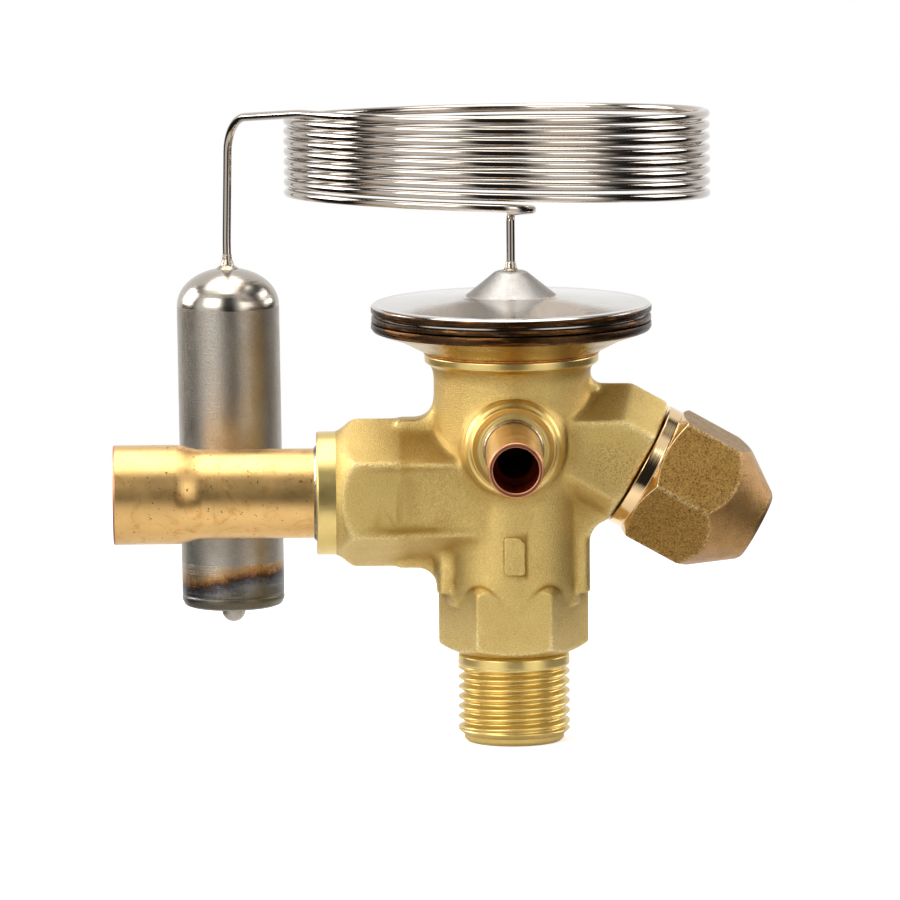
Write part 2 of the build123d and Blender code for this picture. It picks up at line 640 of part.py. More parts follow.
def valve_cone():
    """Cone that closes the throat from below, guided by three lands."""
    throat, guide = ORIFICE_DIA / 2, HOUSING_BORE_DIA / 2 - RUNNING_GAP
    seat = ORIFICE_SEAT
    cone = turned(
        [(0, seat - 6.2), (1.0, seat - 6.2), (1.0, seat - 2.9), (guide, seat - 2.9), (guide, seat - 0.9)]
        + [(2.2, seat - 0.9), (throat - 0.04, seat), (0.8, seat + 0.45), (0.8, PUSH_ROD_LOW), (0, PUSH_ROD_LOW)]
    )
    flow_slots = [
        Rot(0, 0, 120 * k) * Pos(3.4, 0, seat - 1.9) * Cylinder(1.5, 2.4) for k in range(3)
    ]
    for slot in flow_slots:
        cone -= slot
    return cone


def cone_spring():
    return coil_spring(1.9, 0.45, HOUSING_LOW + 3.6, ORIFICE_SEAT - 2.9, 6)


def spring_retainer():
    return ring(HOUSING_BORE_DIA, 3.0, HOUSING_LOW + 2.0, HOUSING_LOW + 3.6)


def strainer():
    """Gauze thimble that hangs from the housing, closed towards the inlet."""
    outer, wall, low = STRAINER_DIA / 2, STRAINER_WALL, STRAINER_LOW
    return turned(
        [(0, low), (outer - 1.4, low), (outer - 0.4, low + 0.5), (outer, low + 1.6), (outer, HOUSING_LOW)]
        + [(outer - wall, HOUSING_LOW), (outer - wall, low + 1.7), (outer - wall - 0.4, low + 0.8)]
        + [(outer - 1.6, low + wall), (0, low + wall)]
    )


PIECES = [
    valve_body, outlet_tube, outlet_braze, equalizer_tube, equalizer_braze,
    element_base, element_braze, diaphragm_ring, diaphragm, element_cover, capillary_collar,
    capillary_tube, bulb_shell, bulb_end_cap, charge_tip, bulb_collar,
    pressure_pad, push_rod, guide_bush, rod_seal, spring_seat, superheat_spring,
    thrust_button, adjusting_spindle, spindle_gland, spindle_seal, seal_cap, cap_gasket,
    orifice_housing, orifice_gasket, valve_cone, cone_spring, spring_retainer, strainer,
]

os.makedirs("parts", exist_ok=True)
for piece in PIECES:
    export_step(piece(), f"parts/{piece.__name__}.step")
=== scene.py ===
import math

import bmesh
import bpy
import numpy as np
from bpy.props import FloatProperty, FloatVectorProperty, IntProperty, PointerProperty
from bpy.types import Operator, Panel, PropertyGroup
from mathutils import Matrix, Vector


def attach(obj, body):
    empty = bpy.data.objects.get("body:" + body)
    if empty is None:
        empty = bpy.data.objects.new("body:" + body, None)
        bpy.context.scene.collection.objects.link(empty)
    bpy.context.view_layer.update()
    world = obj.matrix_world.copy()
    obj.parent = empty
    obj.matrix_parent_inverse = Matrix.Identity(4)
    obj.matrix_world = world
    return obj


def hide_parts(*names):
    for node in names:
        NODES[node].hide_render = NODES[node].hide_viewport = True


bl_info = {
    "name": "Angle Expansion Valve",
    "version": (1, 0, 0),
    "blender": (4, 5, 0),
    "location": "View3D > Sidebar > Valve",
    "description": "Dresses an expansion valve with forged brass, copper and steel",
    "category": "Object",
}

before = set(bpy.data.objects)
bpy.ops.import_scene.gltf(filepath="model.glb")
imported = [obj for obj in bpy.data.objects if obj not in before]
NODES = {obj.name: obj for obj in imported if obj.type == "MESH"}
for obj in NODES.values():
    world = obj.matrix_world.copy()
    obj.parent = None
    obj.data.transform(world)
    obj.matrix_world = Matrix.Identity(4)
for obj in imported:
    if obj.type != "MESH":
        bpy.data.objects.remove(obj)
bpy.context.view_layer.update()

MM = 0.001

# --- Places: each has its own +Z pointing out of the body, in millimetres -------------------
ARM_HEIGHT = 35.55
EQUALIZER_HEIGHT = 43.2
BOSS_TILT = math.radians(29.4)
BOSS_FACE = Vector((17.8, 0.0, 39.5))
BULB_FOOT = Vector((-39.93, 20.0, 41.0))
BULB_LEAN = math.radians(0.5)

UPRIGHT = Matrix.Identity(4)
ARM = Matrix.Translation((0, 0, ARM_HEIGHT)) @ Matrix.Rotation(-math.pi / 2, 4, "Y")
EQUALIZER = Matrix.Translation((0, 0, EQUALIZER_HEIGHT)) @ Matrix.Rotation(math.pi / 2, 4, "X")
BOSS = Matrix.Translation(BOSS_FACE) @ Matrix.Rotation(math.pi / 2 + BOSS_TILT, 4, "Y")
BULB = (
    Matrix.Translation(BULB_FOOT)
    @ Matrix.Rotation(-BULB_LEAN, 4, "Y")
    @ Matrix.Translation((0, 0, -BULB_FOOT.z))
)

# --- Sizes shared by pieces, in millimetres ---------------------------------------------------
THREAD_DIA = 15.875
THREAD_PITCH = 25.4 / 18
SPIGOT_DIA = 12.7
SPIGOT_PITCH = 1.5
ELEMENT_RADIUS = 19.85
CAPILLARY_DIA = 1.22
HEX_FOOT = 12.8
HEX_FLAT = 9.25
TRUNK_RADIUS = 9.7
WEB_HALF = 4.4
PAD_MIDDLE = (0.1, 27.6)
FILLS, BLURS = 4, 60
FORGING_TRIANGLES = 190000


# --- Colour and nodes -------------------------------------------------------------------------
def linear(code):
    """Linear colour of an sRGB hex code such as C9AE5E."""
    parts = [int(code[i : i + 2], 16) / 255 for i in (0, 2, 4)]
    return [p / 12.92 if p <= 0.04045 else ((p + 0.055) / 1.055) ** 2.4 for p in parts] + [1.0]


def per_mm(size):
    """Noise scale whose features are about this many millimetres across."""
    return 1 / (size * MM)


def add(tree, kind, inputs=None, stops=None, **settings):
    """Adds a node with its settings, its inputs as values or links, and a ramp's stops."""
    made = tree.nodes.new(kind)
    for name, value in settings.items():
        setattr(made, name, value)
    for name, value in (inputs or {}).items():
        if isinstance(value, bpy.types.NodeSocket):
            tree.links.new(value, made.inputs[name])
        else:
            made.inputs[name].default_value = value
    for index, (place, colour) in enumerate(stops or []):
        ramp = made.color_ramp.elements
        element = ramp[index] if index < 2 else ramp.new(place)
        element.position, element.color = place, colour
    return made


def calc(tree, kind, first, second=0.5):
    """The result of one sum on two values."""
    return add(tree, "ShaderNodeMath", {0: first, 1: second}, operation=kind).outputs[0]


def times(tree, first, second):
    """The product of two values."""
    return calc(tree, "MULTIPLY", first, second)


def ranged(tree, value, low, high, to_low=0.0, to_high=1.0, smooth=False):
    """A value carried from one range to another and held inside it."""
    limits = {"From Min": low, "From Max": high, "To Min": to_low, "To Max": to_high}
    kind = "SMOOTHSTEP" if smooth else "LINEAR"
    inputs = {"Value": value, **limits}
    return add(tree, "ShaderNodeMapRange", inputs, interpolation_type=kind).outputs["Result"]


def vector(tree, kind, first, second=(0, 0, 0), result=0):
    """The result of one sum on two vectors; a length or a distance is result 1."""
    return add(tree, "ShaderNodeVectorMath", {0: first, 1: second}, operation=kind).outputs[result]


def noise(tree, where, size, detail=2.0, rough=0.5, **more):
    """Soft noise from 0 to 1 whose features are about size millimetres across."""
    inputs = {"Vector": where, "Scale": per_mm(size), "Detail": detail, "Roughness": rough, **more}
    return add(tree, "ShaderNodeTexNoise", inputs).outputs["Fac"]


def read(tree, name):
    """A mesh attribute's value."""
    return add(tree, "ShaderNodeAttribute", attribute_name=name).outputs["Fac"]


def mixed(tree, share, below, above):
    """One colour laid over another by a share."""
    return add(tree, "ShaderNodeMix", {0: share, 6: below, 7: above}, data_type="RGBA").outputs[2]


def bumped(tree, height, strength, distance, **normal):
    """The surface's normal tilted by a height, over a distance in millimetres."""
    inputs = {"Height": height, "Strength": strength, "Distance": distance * MM, **normal}
    return add(tree, "ShaderNodeBump", inputs).outputs["Normal"]


def mirrored_ray(tree):
    """Light Path's outputs, and 1 for a ray that metal or glass sent."""
    path = add(tree, "ShaderNodeLightPath").outputs
    return path, calc(tree, "MAXIMUM", path["Is Glossy Ray"], path["Is Transmission Ray"])


def emptied(holder):
    """The node tree of a material or world, cleared."""
    holder.use_nodes = True
    holder.node_tree.nodes.clear()
    return holder.node_tree


def put(name, data):
    """A new object in the scene."""
    made = bpy.data.objects.new(name, data)
    bpy.context.scene.collection.objects.link(made)
    return made


def shades(name, deeper=0.86):
    """A finish's colour and the same colour deeper and a little warmer, both linear."""
    light = list(getattr(bpy.context.scene.valve_colours, name))
    return [*light, 1.0], [c * deeper ** (1 + 0.35 * i) for i, c in enumerate(light)] + [1.0]


def metal(name, tones, patch, rough, grain, lines=None, detail=None, metallic=1.0):
    """A metal finish from two tones in soft patches, a roughness range, grain and tool lines.

    tones are two linear colours, patch is (size in mm, contrast), rough is (low, high), grain is
    (size in mm, bump, share of shade), lines are (spacing in mm, bump, attribute). detail takes
    the tree, the place, the colour and the roughness and gives back the last two changed.
    """
    material = bpy.data.materials.new(name)
    tree = emptied(material)
    where = add(tree, "ShaderNodeTexCoord").outputs["Object"]
    cloud = noise(tree, where, patch[0], 4.0, 0.6)
    reach = 0.5 / patch[1]
    spread = ranged(tree, cloud, 0.5 - reach, 0.5 + reach)
    colour = mixed(tree, spread, tones[0], tones[1])
    roughness = ranged(tree, cloud, 0.3, 0.7, rough[0], rough[1])
    if detail:
        colour, roughness = detail(tree, where, colour, roughness)
    fine = noise(tree, where, grain[0], 3.0, 0.65)
    shade = ranged(tree, fine, 0.3, 0.7, 1 - grain[2], 1.0)
    colour = add(
        tree, "ShaderNodeMix", {0: 1.0, 6: colour, 7: shade}, data_type="RGBA", blend_type="MULTIPLY"
    ).outputs[2]
    normal = bumped(tree, fine, grain[1], grain[0] * 0.5)
    if lines:
        along = times(tree, read(tree, lines[2]), 1 / lines[0])
        cut = add(
            tree, "ShaderNodeTexNoise", {"W": along, "Scale": 1.0, "Detail": 3.0}, noise_dimensions="1D"
        ).outputs["Fac"]
        normal = bumped(tree, cut, lines[1], lines[0] * 0.5, Normal=normal)
    finish = {"Base Color": colour, "Metallic": metallic, "Roughness": roughness, "Normal": normal}
    shader = add(tree, "ShaderNodeBsdfPrincipled", finish).outputs["BSDF"]
    add(tree, "ShaderNodeOutputMaterial", {"Surface": shader})
    return material


def near(tree, where, centre, reach, amount):
    """A share that fades from an amount to nothing in a soft ball round a point, in millimetres."""
    apart = vector(tree, "DISTANCE", where, [c * MM for c in centre], 1)
    return ranged(tree, apart, reach * MM * 0.35, reach * MM, amount, 0.0, smooth=True)


def specks(tree, where, size, limit, amount=1.0):
    """The share of sharp specks of a size in millimetres; a higher limit leaves fewer."""
    dots = noise(tree, where, size, 2.0, 0.7)
    return ranged(tree, dots, limit, limit + 0.05, 0.0, amount)


SCALE_SPOTS = (((14.5, -8.0, 40.0), 5.5), ((9.5, -9.0, 20.0), 6.5), ((-9.8, -7.0, 22.5), 3.5))


def forging_detail(tree, where, colour, roughness):
    """Painted shade in creases, bright wear on ridges, and specks of scale the die left."""
    # Painted shade: a deeper tone where the mesh is concave and where the painted shade marks lie.
    colour = mixed(tree, read(tree, "crease"), colour, linear("987020"))
    worn = times(tree, read(tree, "ridge"), specks(tree, where, 0.35, 0.45))
    colour = mixed(tree, worn, colour, linear("F0DDA6"))
    for centre, reach in SCALE_SPOTS:
        share = times(tree, near(tree, where, centre, reach, 0.45), specks(tree, where, 0.24, 0.54))
        colour = mixed(tree, share, colour, linear("6E5220"))
    return colour, roughness


# --- Finishes -----------------------------------------------------------------------------------
def forged_brass():
    # Hot-forged brass, fine sand-blasted: matt gold with a visible grit, with painted shade in the creases.
    return metal(
        "forged_brass", shades("forging", 0.9),
        patch=(4.0, 1.6), rough=(0.38, 0.50), grain=(0.21, 0.9, 0.34), detail=forging_detail,
    )


def turned_brass():
    # Brass turned bright after blasting: clear yellow, faint tool rings.
    return metal(
        "turned_brass", shades("machined", 0.92),
        patch=(2.0, 1.5), rough=(0.29, 0.36), grain=(0.4, 0.02, 0.05), lines=(0.3, 0.04, "run"),
    )


def turned_cap_brass():
    # The cap's cone, turned and then blasted lightly: satin gold, smoother than its flats.
    return metal(
        "turned_cap_brass", (linear("BE9560"), linear("9E7542")),
        patch=(2.5, 1.5), rough=(0.32, 0.42), grain=(0.25, 0.8, 0.4),
    )


def satin_ring_brass():
    # Equalizer seat, turned and then dulled by the brazing heat: satin, greyer than the threads.
    return metal(
        "satin_ring_brass", shades("forging", 0.9),
        patch=(1.5, 1.5), rough=(0.30, 0.42), grain=(0.15, 0.3, 0.12), lines=(0.2, 0.25, "run"),
    )


def blasted_cap_brass():
    # Bar brass hexagon, coarsely blasted and tarnished: browner than the body, deep grit.
    def tarnish(tree, where, colour, roughness):
        worn = times(tree, read(tree, "ridge"), specks(tree, where, 0.4, 0.44, 0.8))
        colour = mixed(tree, worn, colour, linear("DDC08A"))
        colour = mixed(tree, specks(tree, where, 0.3, 0.54, 0.6), colour, linear("432F14"))
        return mixed(tree, specks(tree, where, 0.24, 0.62, 0.35), colour, linear("D8BE86")), roughness

    return metal(
        "blasted_cap_brass", shades("cap", 0.84),
        patch=(2.5, 2.0), rough=(0.34, 0.46), grain=(0.26, 0.9, 0.5), detail=tarnish,
    )


def mirror_brass():
    # The cap's turned collar: almost a mirror, warm and a little pink.
    return metal(
        "mirror_brass", shades("collar", 0.94),
        patch=(3.0, 1.0), rough=(0.07, 0.12), grain=(0.08, 0.03, 0.04), lines=(0.15, 0.10, "run"),
    )


def drawn_copper():
    # Drawn copper tube, gone golden in the brazing heat: glossy, with brown clouds and thin scratches.
    def stains(tree, where, colour, roughness):
        clouds = noise(tree, where, 5.0, 5.0, 0.7, Distortion=1.5)
        share = ranged(tree, clouds, 0.52, 0.72, 0.0, 0.75)
        colour = mixed(tree, share, colour, linear("B97B33"))
        return mixed(tree, specks(tree, where, 0.7, 0.66, 0.8), colour, linear("5A3A1C")), roughness

    return metal(
        "drawn_copper", shades("copper", 0.88),
        patch=(5.0, 1.6), rough=(0.27, 0.37), grain=(0.12, 0.15, 0.10), lines=(0.25, 0.10, "run"),
        detail=stains,
    )


def cut_copper():
    # Freshly cut copper at a tube's end: pink, satin, with fine saw rings.
    return metal(
        "cut_copper", shades("cut", 0.9),
        patch=(1.0, 1.5), rough=(0.26, 0.38), grain=(0.1, 0.3, 0.12), lines=(0.08, 0.3, "run"),
    )


def oxidised_copper():
    # Inside of the heated tube: a dark red oxide film, half metal, glossy enough to ring the light.
    return metal(
        "oxidised_copper", (linear("9A3A20"), linear("6A2212")),
        patch=(1.5, 2.0), rough=(0.16, 0.28), grain=(0.15, 0.2, 0.15), metallic=0.4,
    )


def silver_braze():
    # Flowed silver braze: bright grey, smooth and wet-looking with brown flux edges.
    return metal(
        "silver_braze", shades("braze", 0.55),
        patch=(0.7, 3.0), rough=(0.14, 0.28), grain=(0.25, 0.4, 0.25),
    )


def orange_braze():
    # Copper braze line under the element: orange-gold, slightly burnt.
    return metal(
        "orange_braze", (linear("DDA468"), linear("A8682F")),
        patch=(1.4, 2.5), rough=(0.28, 0.42), grain=(0.3, 0.4, 0.2),
    )


def pressed_brass():
    # Element dish, pressed and spun: smooth satin, greener gold than the body.
    return metal(
        "pressed_brass", shades("dish", 0.84),
        patch=(5.0, 1.6), rough=(0.22, 0.32), grain=(0.15, 0.2, 0.12), lines=(0.3, 0.15, "run"),
    )


def tinted_rim_steel():
    # Stainless edge beside the seam weld: bronze to near black heat tint, streaked along the rim.
    def streaks(tree, where, colour, roughness):
        long_way = vector(tree, "MULTIPLY", where, (1.0, 1.0, 9.0))
        for size, low, tone in ((5.0, 0.52, "8A5C2E"), (4.0, 0.62, "8C7C64"), (6.0, 0.54, "1A120C")):
            bands = noise(tree, long_way, size, 4.0)
            share = ranged(tree, bands, low, low + 0.12, 0.0, 0.8)
            colour = mixed(tree, share, colour, linear(tone))
        return colour, roughness

    return metal(
        "tinted_rim_steel", shades("rim", 0.6),
        patch=(2.4, 2.5), rough=(0.24, 0.38), grain=(0.2, 0.35, 0.3), lines=(0.25, 0.3, "run"),
        detail=streaks,
    )


def polished_steel():
    # Drawn stainless cover, polished: grey mirror softened by faint scratches and handling marks.
    def marks(tree, where, colour, roughness):
        thin = vector(tree, "MULTIPLY", where, (0.25, 1.6, 1.0))
        scratch = specks(tree, thin, 1.3, 0.70, 0.7)
        return mixed(tree, scratch, colour, linear("7A6650")), roughness

    return metal(
        "polished_steel", shades("cover", 0.9),
        patch=(7.0, 1.6), rough=(0.05, 0.12), grain=(0.12, 0.05, 0.06), lines=(0.3, 0.05, "run"),
        detail=marks,
    )


def frosted_steel():
    # Cone of the cover, left as drawn and lightly blasted: satin grey-white with a sparkle.
    return metal(
        "frosted_steel", (linear("B4B0AA"), linear("9F9B95")),
        patch=(1.5, 1.6), rough=(0.26, 0.38), grain=(0.25, 0.6, 0.22),
    )


def drawn_steel_wire():
    # Hard drawn stainless capillary: bright as a mirror along its length, warm grey.
    return metal(
        "drawn_steel_wire", shades("capillary", 0.9),
        patch=(6.0, 1.4), rough=(0.08, 0.14), grain=(0.12, 0.03, 0.06),
    )


def brushed_bulb_steel():
    # Bulb can, brushed with a belt round its side: satin warm grey with fine rings and faint clouds.
    def smoke(tree, where, colour, roughness):
        clouds = noise(tree, where, 9.0, 4.0, 0.6)
        share = ranged(tree, clouds, 0.45, 0.75, 0.0, 0.5)
        return mixed(tree, share, colour, linear("A89478")), roughness

    return metal(
        "brushed_bulb_steel", shades("bulb", 0.86),
        patch=(3.0, 1.6), rough=(0.28, 0.38), grain=(0.22, 0.35, 0.26), lines=(0.16, 0.14, "run"),
        detail=smoke,
    )


def polished_bulb_steel():
    # Domed end of the bulb, spun and polished: soft mirror.
    return metal(
        "polished_bulb_steel", shades("bulb", 0.92),
        patch=(3.0, 1.2), rough=(0.17, 0.25), grain=(0.15, 0.12, 0.08), lines=(0.2, 0.08, "run"),
    )


WELD_TINT = (
    (0.0, "57503F"), (0.24, "6B6862"), (0.30, "5C5C62"), (0.38, "3E3A3E"), (0.44, "35200F"),
    (0.50, "7A4A1E"), (0.60, "B08450"), (0.75, "B7A284"), (1.0, "B9B1A4"),
)


def tinted_bulb_steel():
    # Foot of the bulb beside its weld: straw through burnt orange and brown to blue-grey.
    def tint(tree, where, colour, roughness):
        parts = add(tree, "ShaderNodeSeparateXYZ", {"Vector": where}).outputs
        slant = ranged(tree, parts["X"], -45.5 * MM, -36.5 * MM, 0.0, 1.9 * MM, smooth=True)
        ragged = ranged(tree, noise(tree, where, 1.6, 6.0, 0.8), 0.3, 0.7, -0.7 * MM, 0.7 * MM)
        level = calc(tree, "ADD", calc(tree, "SUBTRACT", parts["Z"], slant), ragged)
        level = ranged(tree, level, 16.8 * MM, 23.8 * MM)
        bands = add(
            tree, "ShaderNodeValToRGB", {"Fac": level},
            stops=[(place, linear(code)) for place, code in WELD_TINT],
        ).outputs["Color"]
        return mixed(tree, 0.92, colour, bands), roughness

    return metal(
        "tinted_bulb_steel", shades("bulb", 0.86),
        patch=(3.0, 1.4), rough=(0.26, 0.36), grain=(0.22, 0.3, 0.2), lines=(0.16, 0.4, "run"),
        detail=tint,
    )


def turned_inner_brass():
    # Free-cutting brass, machined all over and clean: yellow with fine tool rings.
    return metal(
        "turned_inner_brass", shades("machined", 0.92),
        patch=(3.0, 1.0), rough=(0.22, 0.32), grain=(0.1, 0.15, 0.06),
    )


def turned_inner_steel():
    # Stainless bar, ground where it slides: plain grey and quite sharp in reflection.
    return metal(
        "turned_inner_steel", (linear("BEBDBA"), linear("A8A6A2")),
        patch=(3.0, 1.0), rough=(0.18, 0.28), grain=(0.1, 0.12, 0.06),
    )


def spring_wire():
    # Oil-tempered spring wire: darker grey with a thin oil film.
    return metal(
        "spring_wire", (linear("8C8B88"), linear("6F6E6B")),
        patch=(1.5, 1.5), rough=(0.25, 0.36), grain=(0.1, 0.15, 0.1),
    )


def annealed_copper():
    # Soft copper gasket: dull pink, faintly pressed.
    return metal(
        "annealed_copper", shades("cut", 0.86),
        patch=(2.0, 1.5), rough=(0.35, 0.48), grain=(0.12, 0.25, 0.1),
    )


def woven_gauze():
    # Stainless gauze, about 0.3 mm wires drawn coarser than the real mesh so that they show.
    def weave(tree, where, colour, roughness):
        parts = add(tree, "ShaderNodeSeparateXYZ", {"Vector": where})
        around = calc(tree, "ARCTAN2", parts.outputs["Y"], parts.outputs["X"])
        for run, count in ((around, 44.0), (parts.outputs["Z"], 2 * math.pi / (0.6 * MM))):
            wave = times(tree, run, count)
            bright = calc(tree, "SINE", wave)
            gap = ranged(tree, bright, -0.6, 0.2, 0.8, 0.0)
            colour = mixed(tree, gap, colour, linear("1C1B1A"))
        return colour, roughness

    return metal(
        "woven_gauze", (linear("B5B3AE"), linear("9C9A95")),
        patch=(2.0, 1.0), rough=(0.3, 0.4), grain=(0.1, 0.2, 0.1), detail=weave,
    )


def moulded_rubber():
    # Nitrile seal ring: near black, soft sheen, fine mould grain.
    material = bpy.data.materials.new("moulded_rubber")
    tree = emptied(material)
    where = add(tree, "ShaderNodeTexCoord").outputs["Object"]
    grain = noise(tree, where, 0.2)
    colour = mixed(tree, grain, linear("1A1A1A"), linear("262524"))
    normal = bumped(tree, grain, 0.3, 0.1)
    finish = {"Base Color": colour, "Roughness": 0.55, "Normal": normal}
    shader = add(tree, "ShaderNodeBsdfPrincipled", finish).outputs["BSDF"]
    add(tree, "ShaderNodeOutputMaterial", {"Surface": shader})
    return material


FINISHES = {}


def finish_of(maker):
    """The material of a maker function, made once."""
    if maker.__name__ not in FINISHES:
        FINISHES[maker.__name__] = maker()
    return FINISHES[maker.__name__]


# --- Mesh makers ----------------------------------------------------------------------------------
def rounded(outline, corner):
    """The closed outline with every corner turned into an arc, and points along the straights."""
    points = [Vector(p[:2]) for p in outline]
    radii = [p[2] if len(p) > 2 else corner for p in outline]
    arcs = []
    for i, here in enumerate(points):
        before, after = points[i - 1] - here, points[(i + 1) % len(points)] - here
        turn = before.angle(after)
        radius = radii[i]
        if radius <= 0 or turn > math.pi - 0.02:
            arcs.append([here])
            continue
        reach = min(radius / math.tan(turn / 2), 0.45 * min(before.length, after.length))
        radius = reach * math.tan(turn / 2)
        before.normalize()
        after.normalize()
        middle = here + (before + after).normalized() * (radius / math.sin(turn / 2))
        start, end = here + before * reach, here + after * reach
        first = math.atan2(start.y - middle.y, start.x - middle.x)
        last = math.atan2(end.y - middle.y, end.x - middle.x)
        sweep = (last - first + math.pi) % (2 * math.pi) - math.pi
        steps = max(2, math.ceil(abs(sweep) / 0.3))
        angles = [first + sweep * k / steps for k in range(steps + 1)]
        arcs.append([middle + Vector((math.cos(a), math.sin(a))) * radius for a in angles])
    smooth = []
    for i, arc in enumerate(arcs):
        smooth += arc
        start, end = arc[-1], arcs[(i + 1) % len(arcs)][0]
        run = (end - start).length
        if run > 0.6:
            steps = max(1, math.ceil((run - 0.3) / 1.5))
            places = [0.15 + (run - 0.3) * k / steps for k in range(steps + 1)]
            smooth += [start.lerp(end, place / run) for place in places]
    return smooth


def ring_faces(rows, segments, closed=True):
    """Quads between rows of points that run round, the last row back to the first if closed."""
    return [
        (i * segments + k, i * segments + (k + 1) % segments,
         (i + 1) % rows * segments + (k + 1) % segments, (i + 1) % rows * segments + k)
        for i in range(rows if closed else rows - 1) for k in range(segments)
    ]


def mesh_of(name, vertices, faces, values=None):
    """A mesh from points in millimetres, with point attributes."""
    mesh = bpy.data.meshes.new(name)
    mesh.from_pydata([[c * MM for c in v] for v in vertices], [], faces)
    for key, numbers in (values or {}).items():
        mesh.attributes.new(key, "FLOAT", "POINT").data.foreach_set("value", numbers)
    return mesh


def stand(mesh, place):
    """Carries a mesh from its own place, in millimetres, to the shared frame."""
    shift = place.copy()
    shift.translation = shift.translation * MM
    mesh.transform(shift)


def new_piece(name, vertices, faces, maker, stands_for=(), body="valve", place=UPRIGHT, values=None):
    """A finished piece from points in millimetres in its own place, with its finish and its nodes."""
    mesh = mesh_of(name, vertices, faces, values)
    stand(mesh, place)
    return settle(name, mesh, maker, stands_for, body)


def settle(name, mesh, maker, stands_for=(), body="valve"):
    """Cleans a piece's mesh, shades it and hands it to its body."""
    work = bmesh.new()
    work.from_mesh(mesh)
    bmesh.ops.remove_doubles(work, verts=work.verts, dist=1e-7)
    bmesh.ops.recalc_face_normals(work, faces=work.faces)
    work.to_mesh(mesh)
    work.free()
    mesh.shade_smooth()
    if maker and not mesh.materials:
        mesh.materials.append(finish_of(maker))
    piece = put(name, mesh)
    if stands_for:
        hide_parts(*stands_for)
    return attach(piece, body)


def revolved(section, segments, shaped=None):
    """Vertices, run along the section and wear of a section turned round, its radius shaped by angle."""
    vertices, run, wear, travelled = [], [], [], 0.0
    for i, point in enumerate(section):
        travelled += (point - section[i - 1]).length if i else 0.0
        for k in range(segments):
            angle = 2 * math.pi * k / segments
            reach, worn = shaped(point, angle) if shaped else (point.x, 0.0)
            vertices.append((reach * math.cos(angle), reach * math.sin(angle), point.y))
            run.append(travelled)
            wear.append(worn)
    return vertices, run, wear


def spun(outline, corner=0.15, segments=128):
    """Vertices, faces and the run along the outline of a turned ring or solid."""
    section = rounded(outline, corner)
    vertices, run, _ = revolved(section, segments)
    return vertices, ring_faces(len(section), segments), run


def turned(
    name, outline, maker, stands_for=(), body="valve", place=UPRIGHT, corner=0.15, segments=128
):
    """A turned piece from its closed (radius, height) outline in millimetres."""
    vertices, faces, run = spun(outline, corner, segments)
    return new_piece(name, vertices, faces, maker, stands_for, body, place, {"run": run})


def baked(piece_object):
    """Turns an object's modifiers into a plain mesh and removes the object."""
    bpy.context.view_layer.update()
    graph = bpy.context.evaluated_depsgraph_get()
    mesh = bpy.data.meshes.new_from_object(piece_object.evaluated_get(graph))
    bpy.data.objects.remove(piece_object)
    return mesh


def set_input(modifier, name, value):
    """Sets a geometry tree's input by its socket identifier."""
    for item in modifier.node_group.interface.items_tree:
        if item.item_type == "SOCKET" and item.in_out == "INPUT" and item.name == name:
            modifier[item.identifier] = value


def new_tree(name, sizes):
    """An empty geometry tree with a geometry socket each way and named sizes."""
    tree = bpy.data.node_groups.new(name, "GeometryNodeTree")
    tree.interface.new_socket("Geometry", in_out="INPUT", socket_type="NodeSocketGeometry")
    for key, kind in sizes.items():
        tree.interface.new_socket(key, in_out="INPUT", socket_type=kind)
    tree.interface.new_socket("Geometry", in_out="OUTPUT", socket_type="NodeSocketGeometry")
    return tree, add(tree, "NodeGroupInput").outputs


def close_tree(tree, geometry, finish):
    """Ends a geometry tree in realized instances with the finish on them."""
    real = add(tree, "GeometryNodeRealizeInstances", {"Geometry": geometry}).outputs["Geometry"]
    dressed = add(tree, "GeometryNodeSetMaterial", {"Geometry": real, "Material": finish}).outputs[0]
    add(tree, "NodeGroupOutput", {"Geometry": dressed})


# --- Forged body --------------------------------------------------------------------------------
def neighbour_mean(points, edges, count):
    """Mean of each point's neighbours."""
    total = np.zeros_like(points)
    for axis in range(3):
        total[:, axis] = np.bincount(edges[:, 0], points[edges[:, 1], axis], count)
        total[:, axis] += np.bincount(edges[:, 1], points[edges[:, 0], axis], count)
    degree = np.bincount(edges.ravel(), minlength=count)
    return total / np.maximum(degree, 1)[:, None]


def carried(points, matrix):
    """Points carried by a matrix."""
    matrix = np.array(matrix)
    return points @ matrix[:3, :3].T + matrix[:3, 3]


def in_place(points, place):
    """Points in millimetres in a place's own frame, as radius and height."""
    across, deep, height = carried(points, place.inverted()).T
    return np.hypot(across, deep), height


def write_points(mesh, points):
    """Moves a mesh's vertices to points in millimetres."""
    mesh.vertices.foreach_set("co", (points * MM).astype(np.float32).ravel())


def read_points(mesh, key="vertices", field="co"):
    """A mesh's vertex positions or normals as an array."""
    source = getattr(mesh, key)
    flat = np.empty(len(source) * 3, np.float32)
    source.foreach_get(field, flat)
    return flat.reshape(-1, 3).astype(float)


def squeeze(points, place, zone, radius=None, height=None):
    """Pulls points of a zone in to a radius or down to a height, in a place's own frame."""
    local = carried(points[zone], place.inverted())
    if radius is not None:
        reach = np.hypot(local[:, 0], local[:, 1])
        local[:, :2] *= np.minimum(1, radius / np.maximum(reach, 1e-6))[:, None]
    if height is not None:
        local[:, 2] = np.minimum(local[:, 2], height)
    points[zone] = carried(local, place)


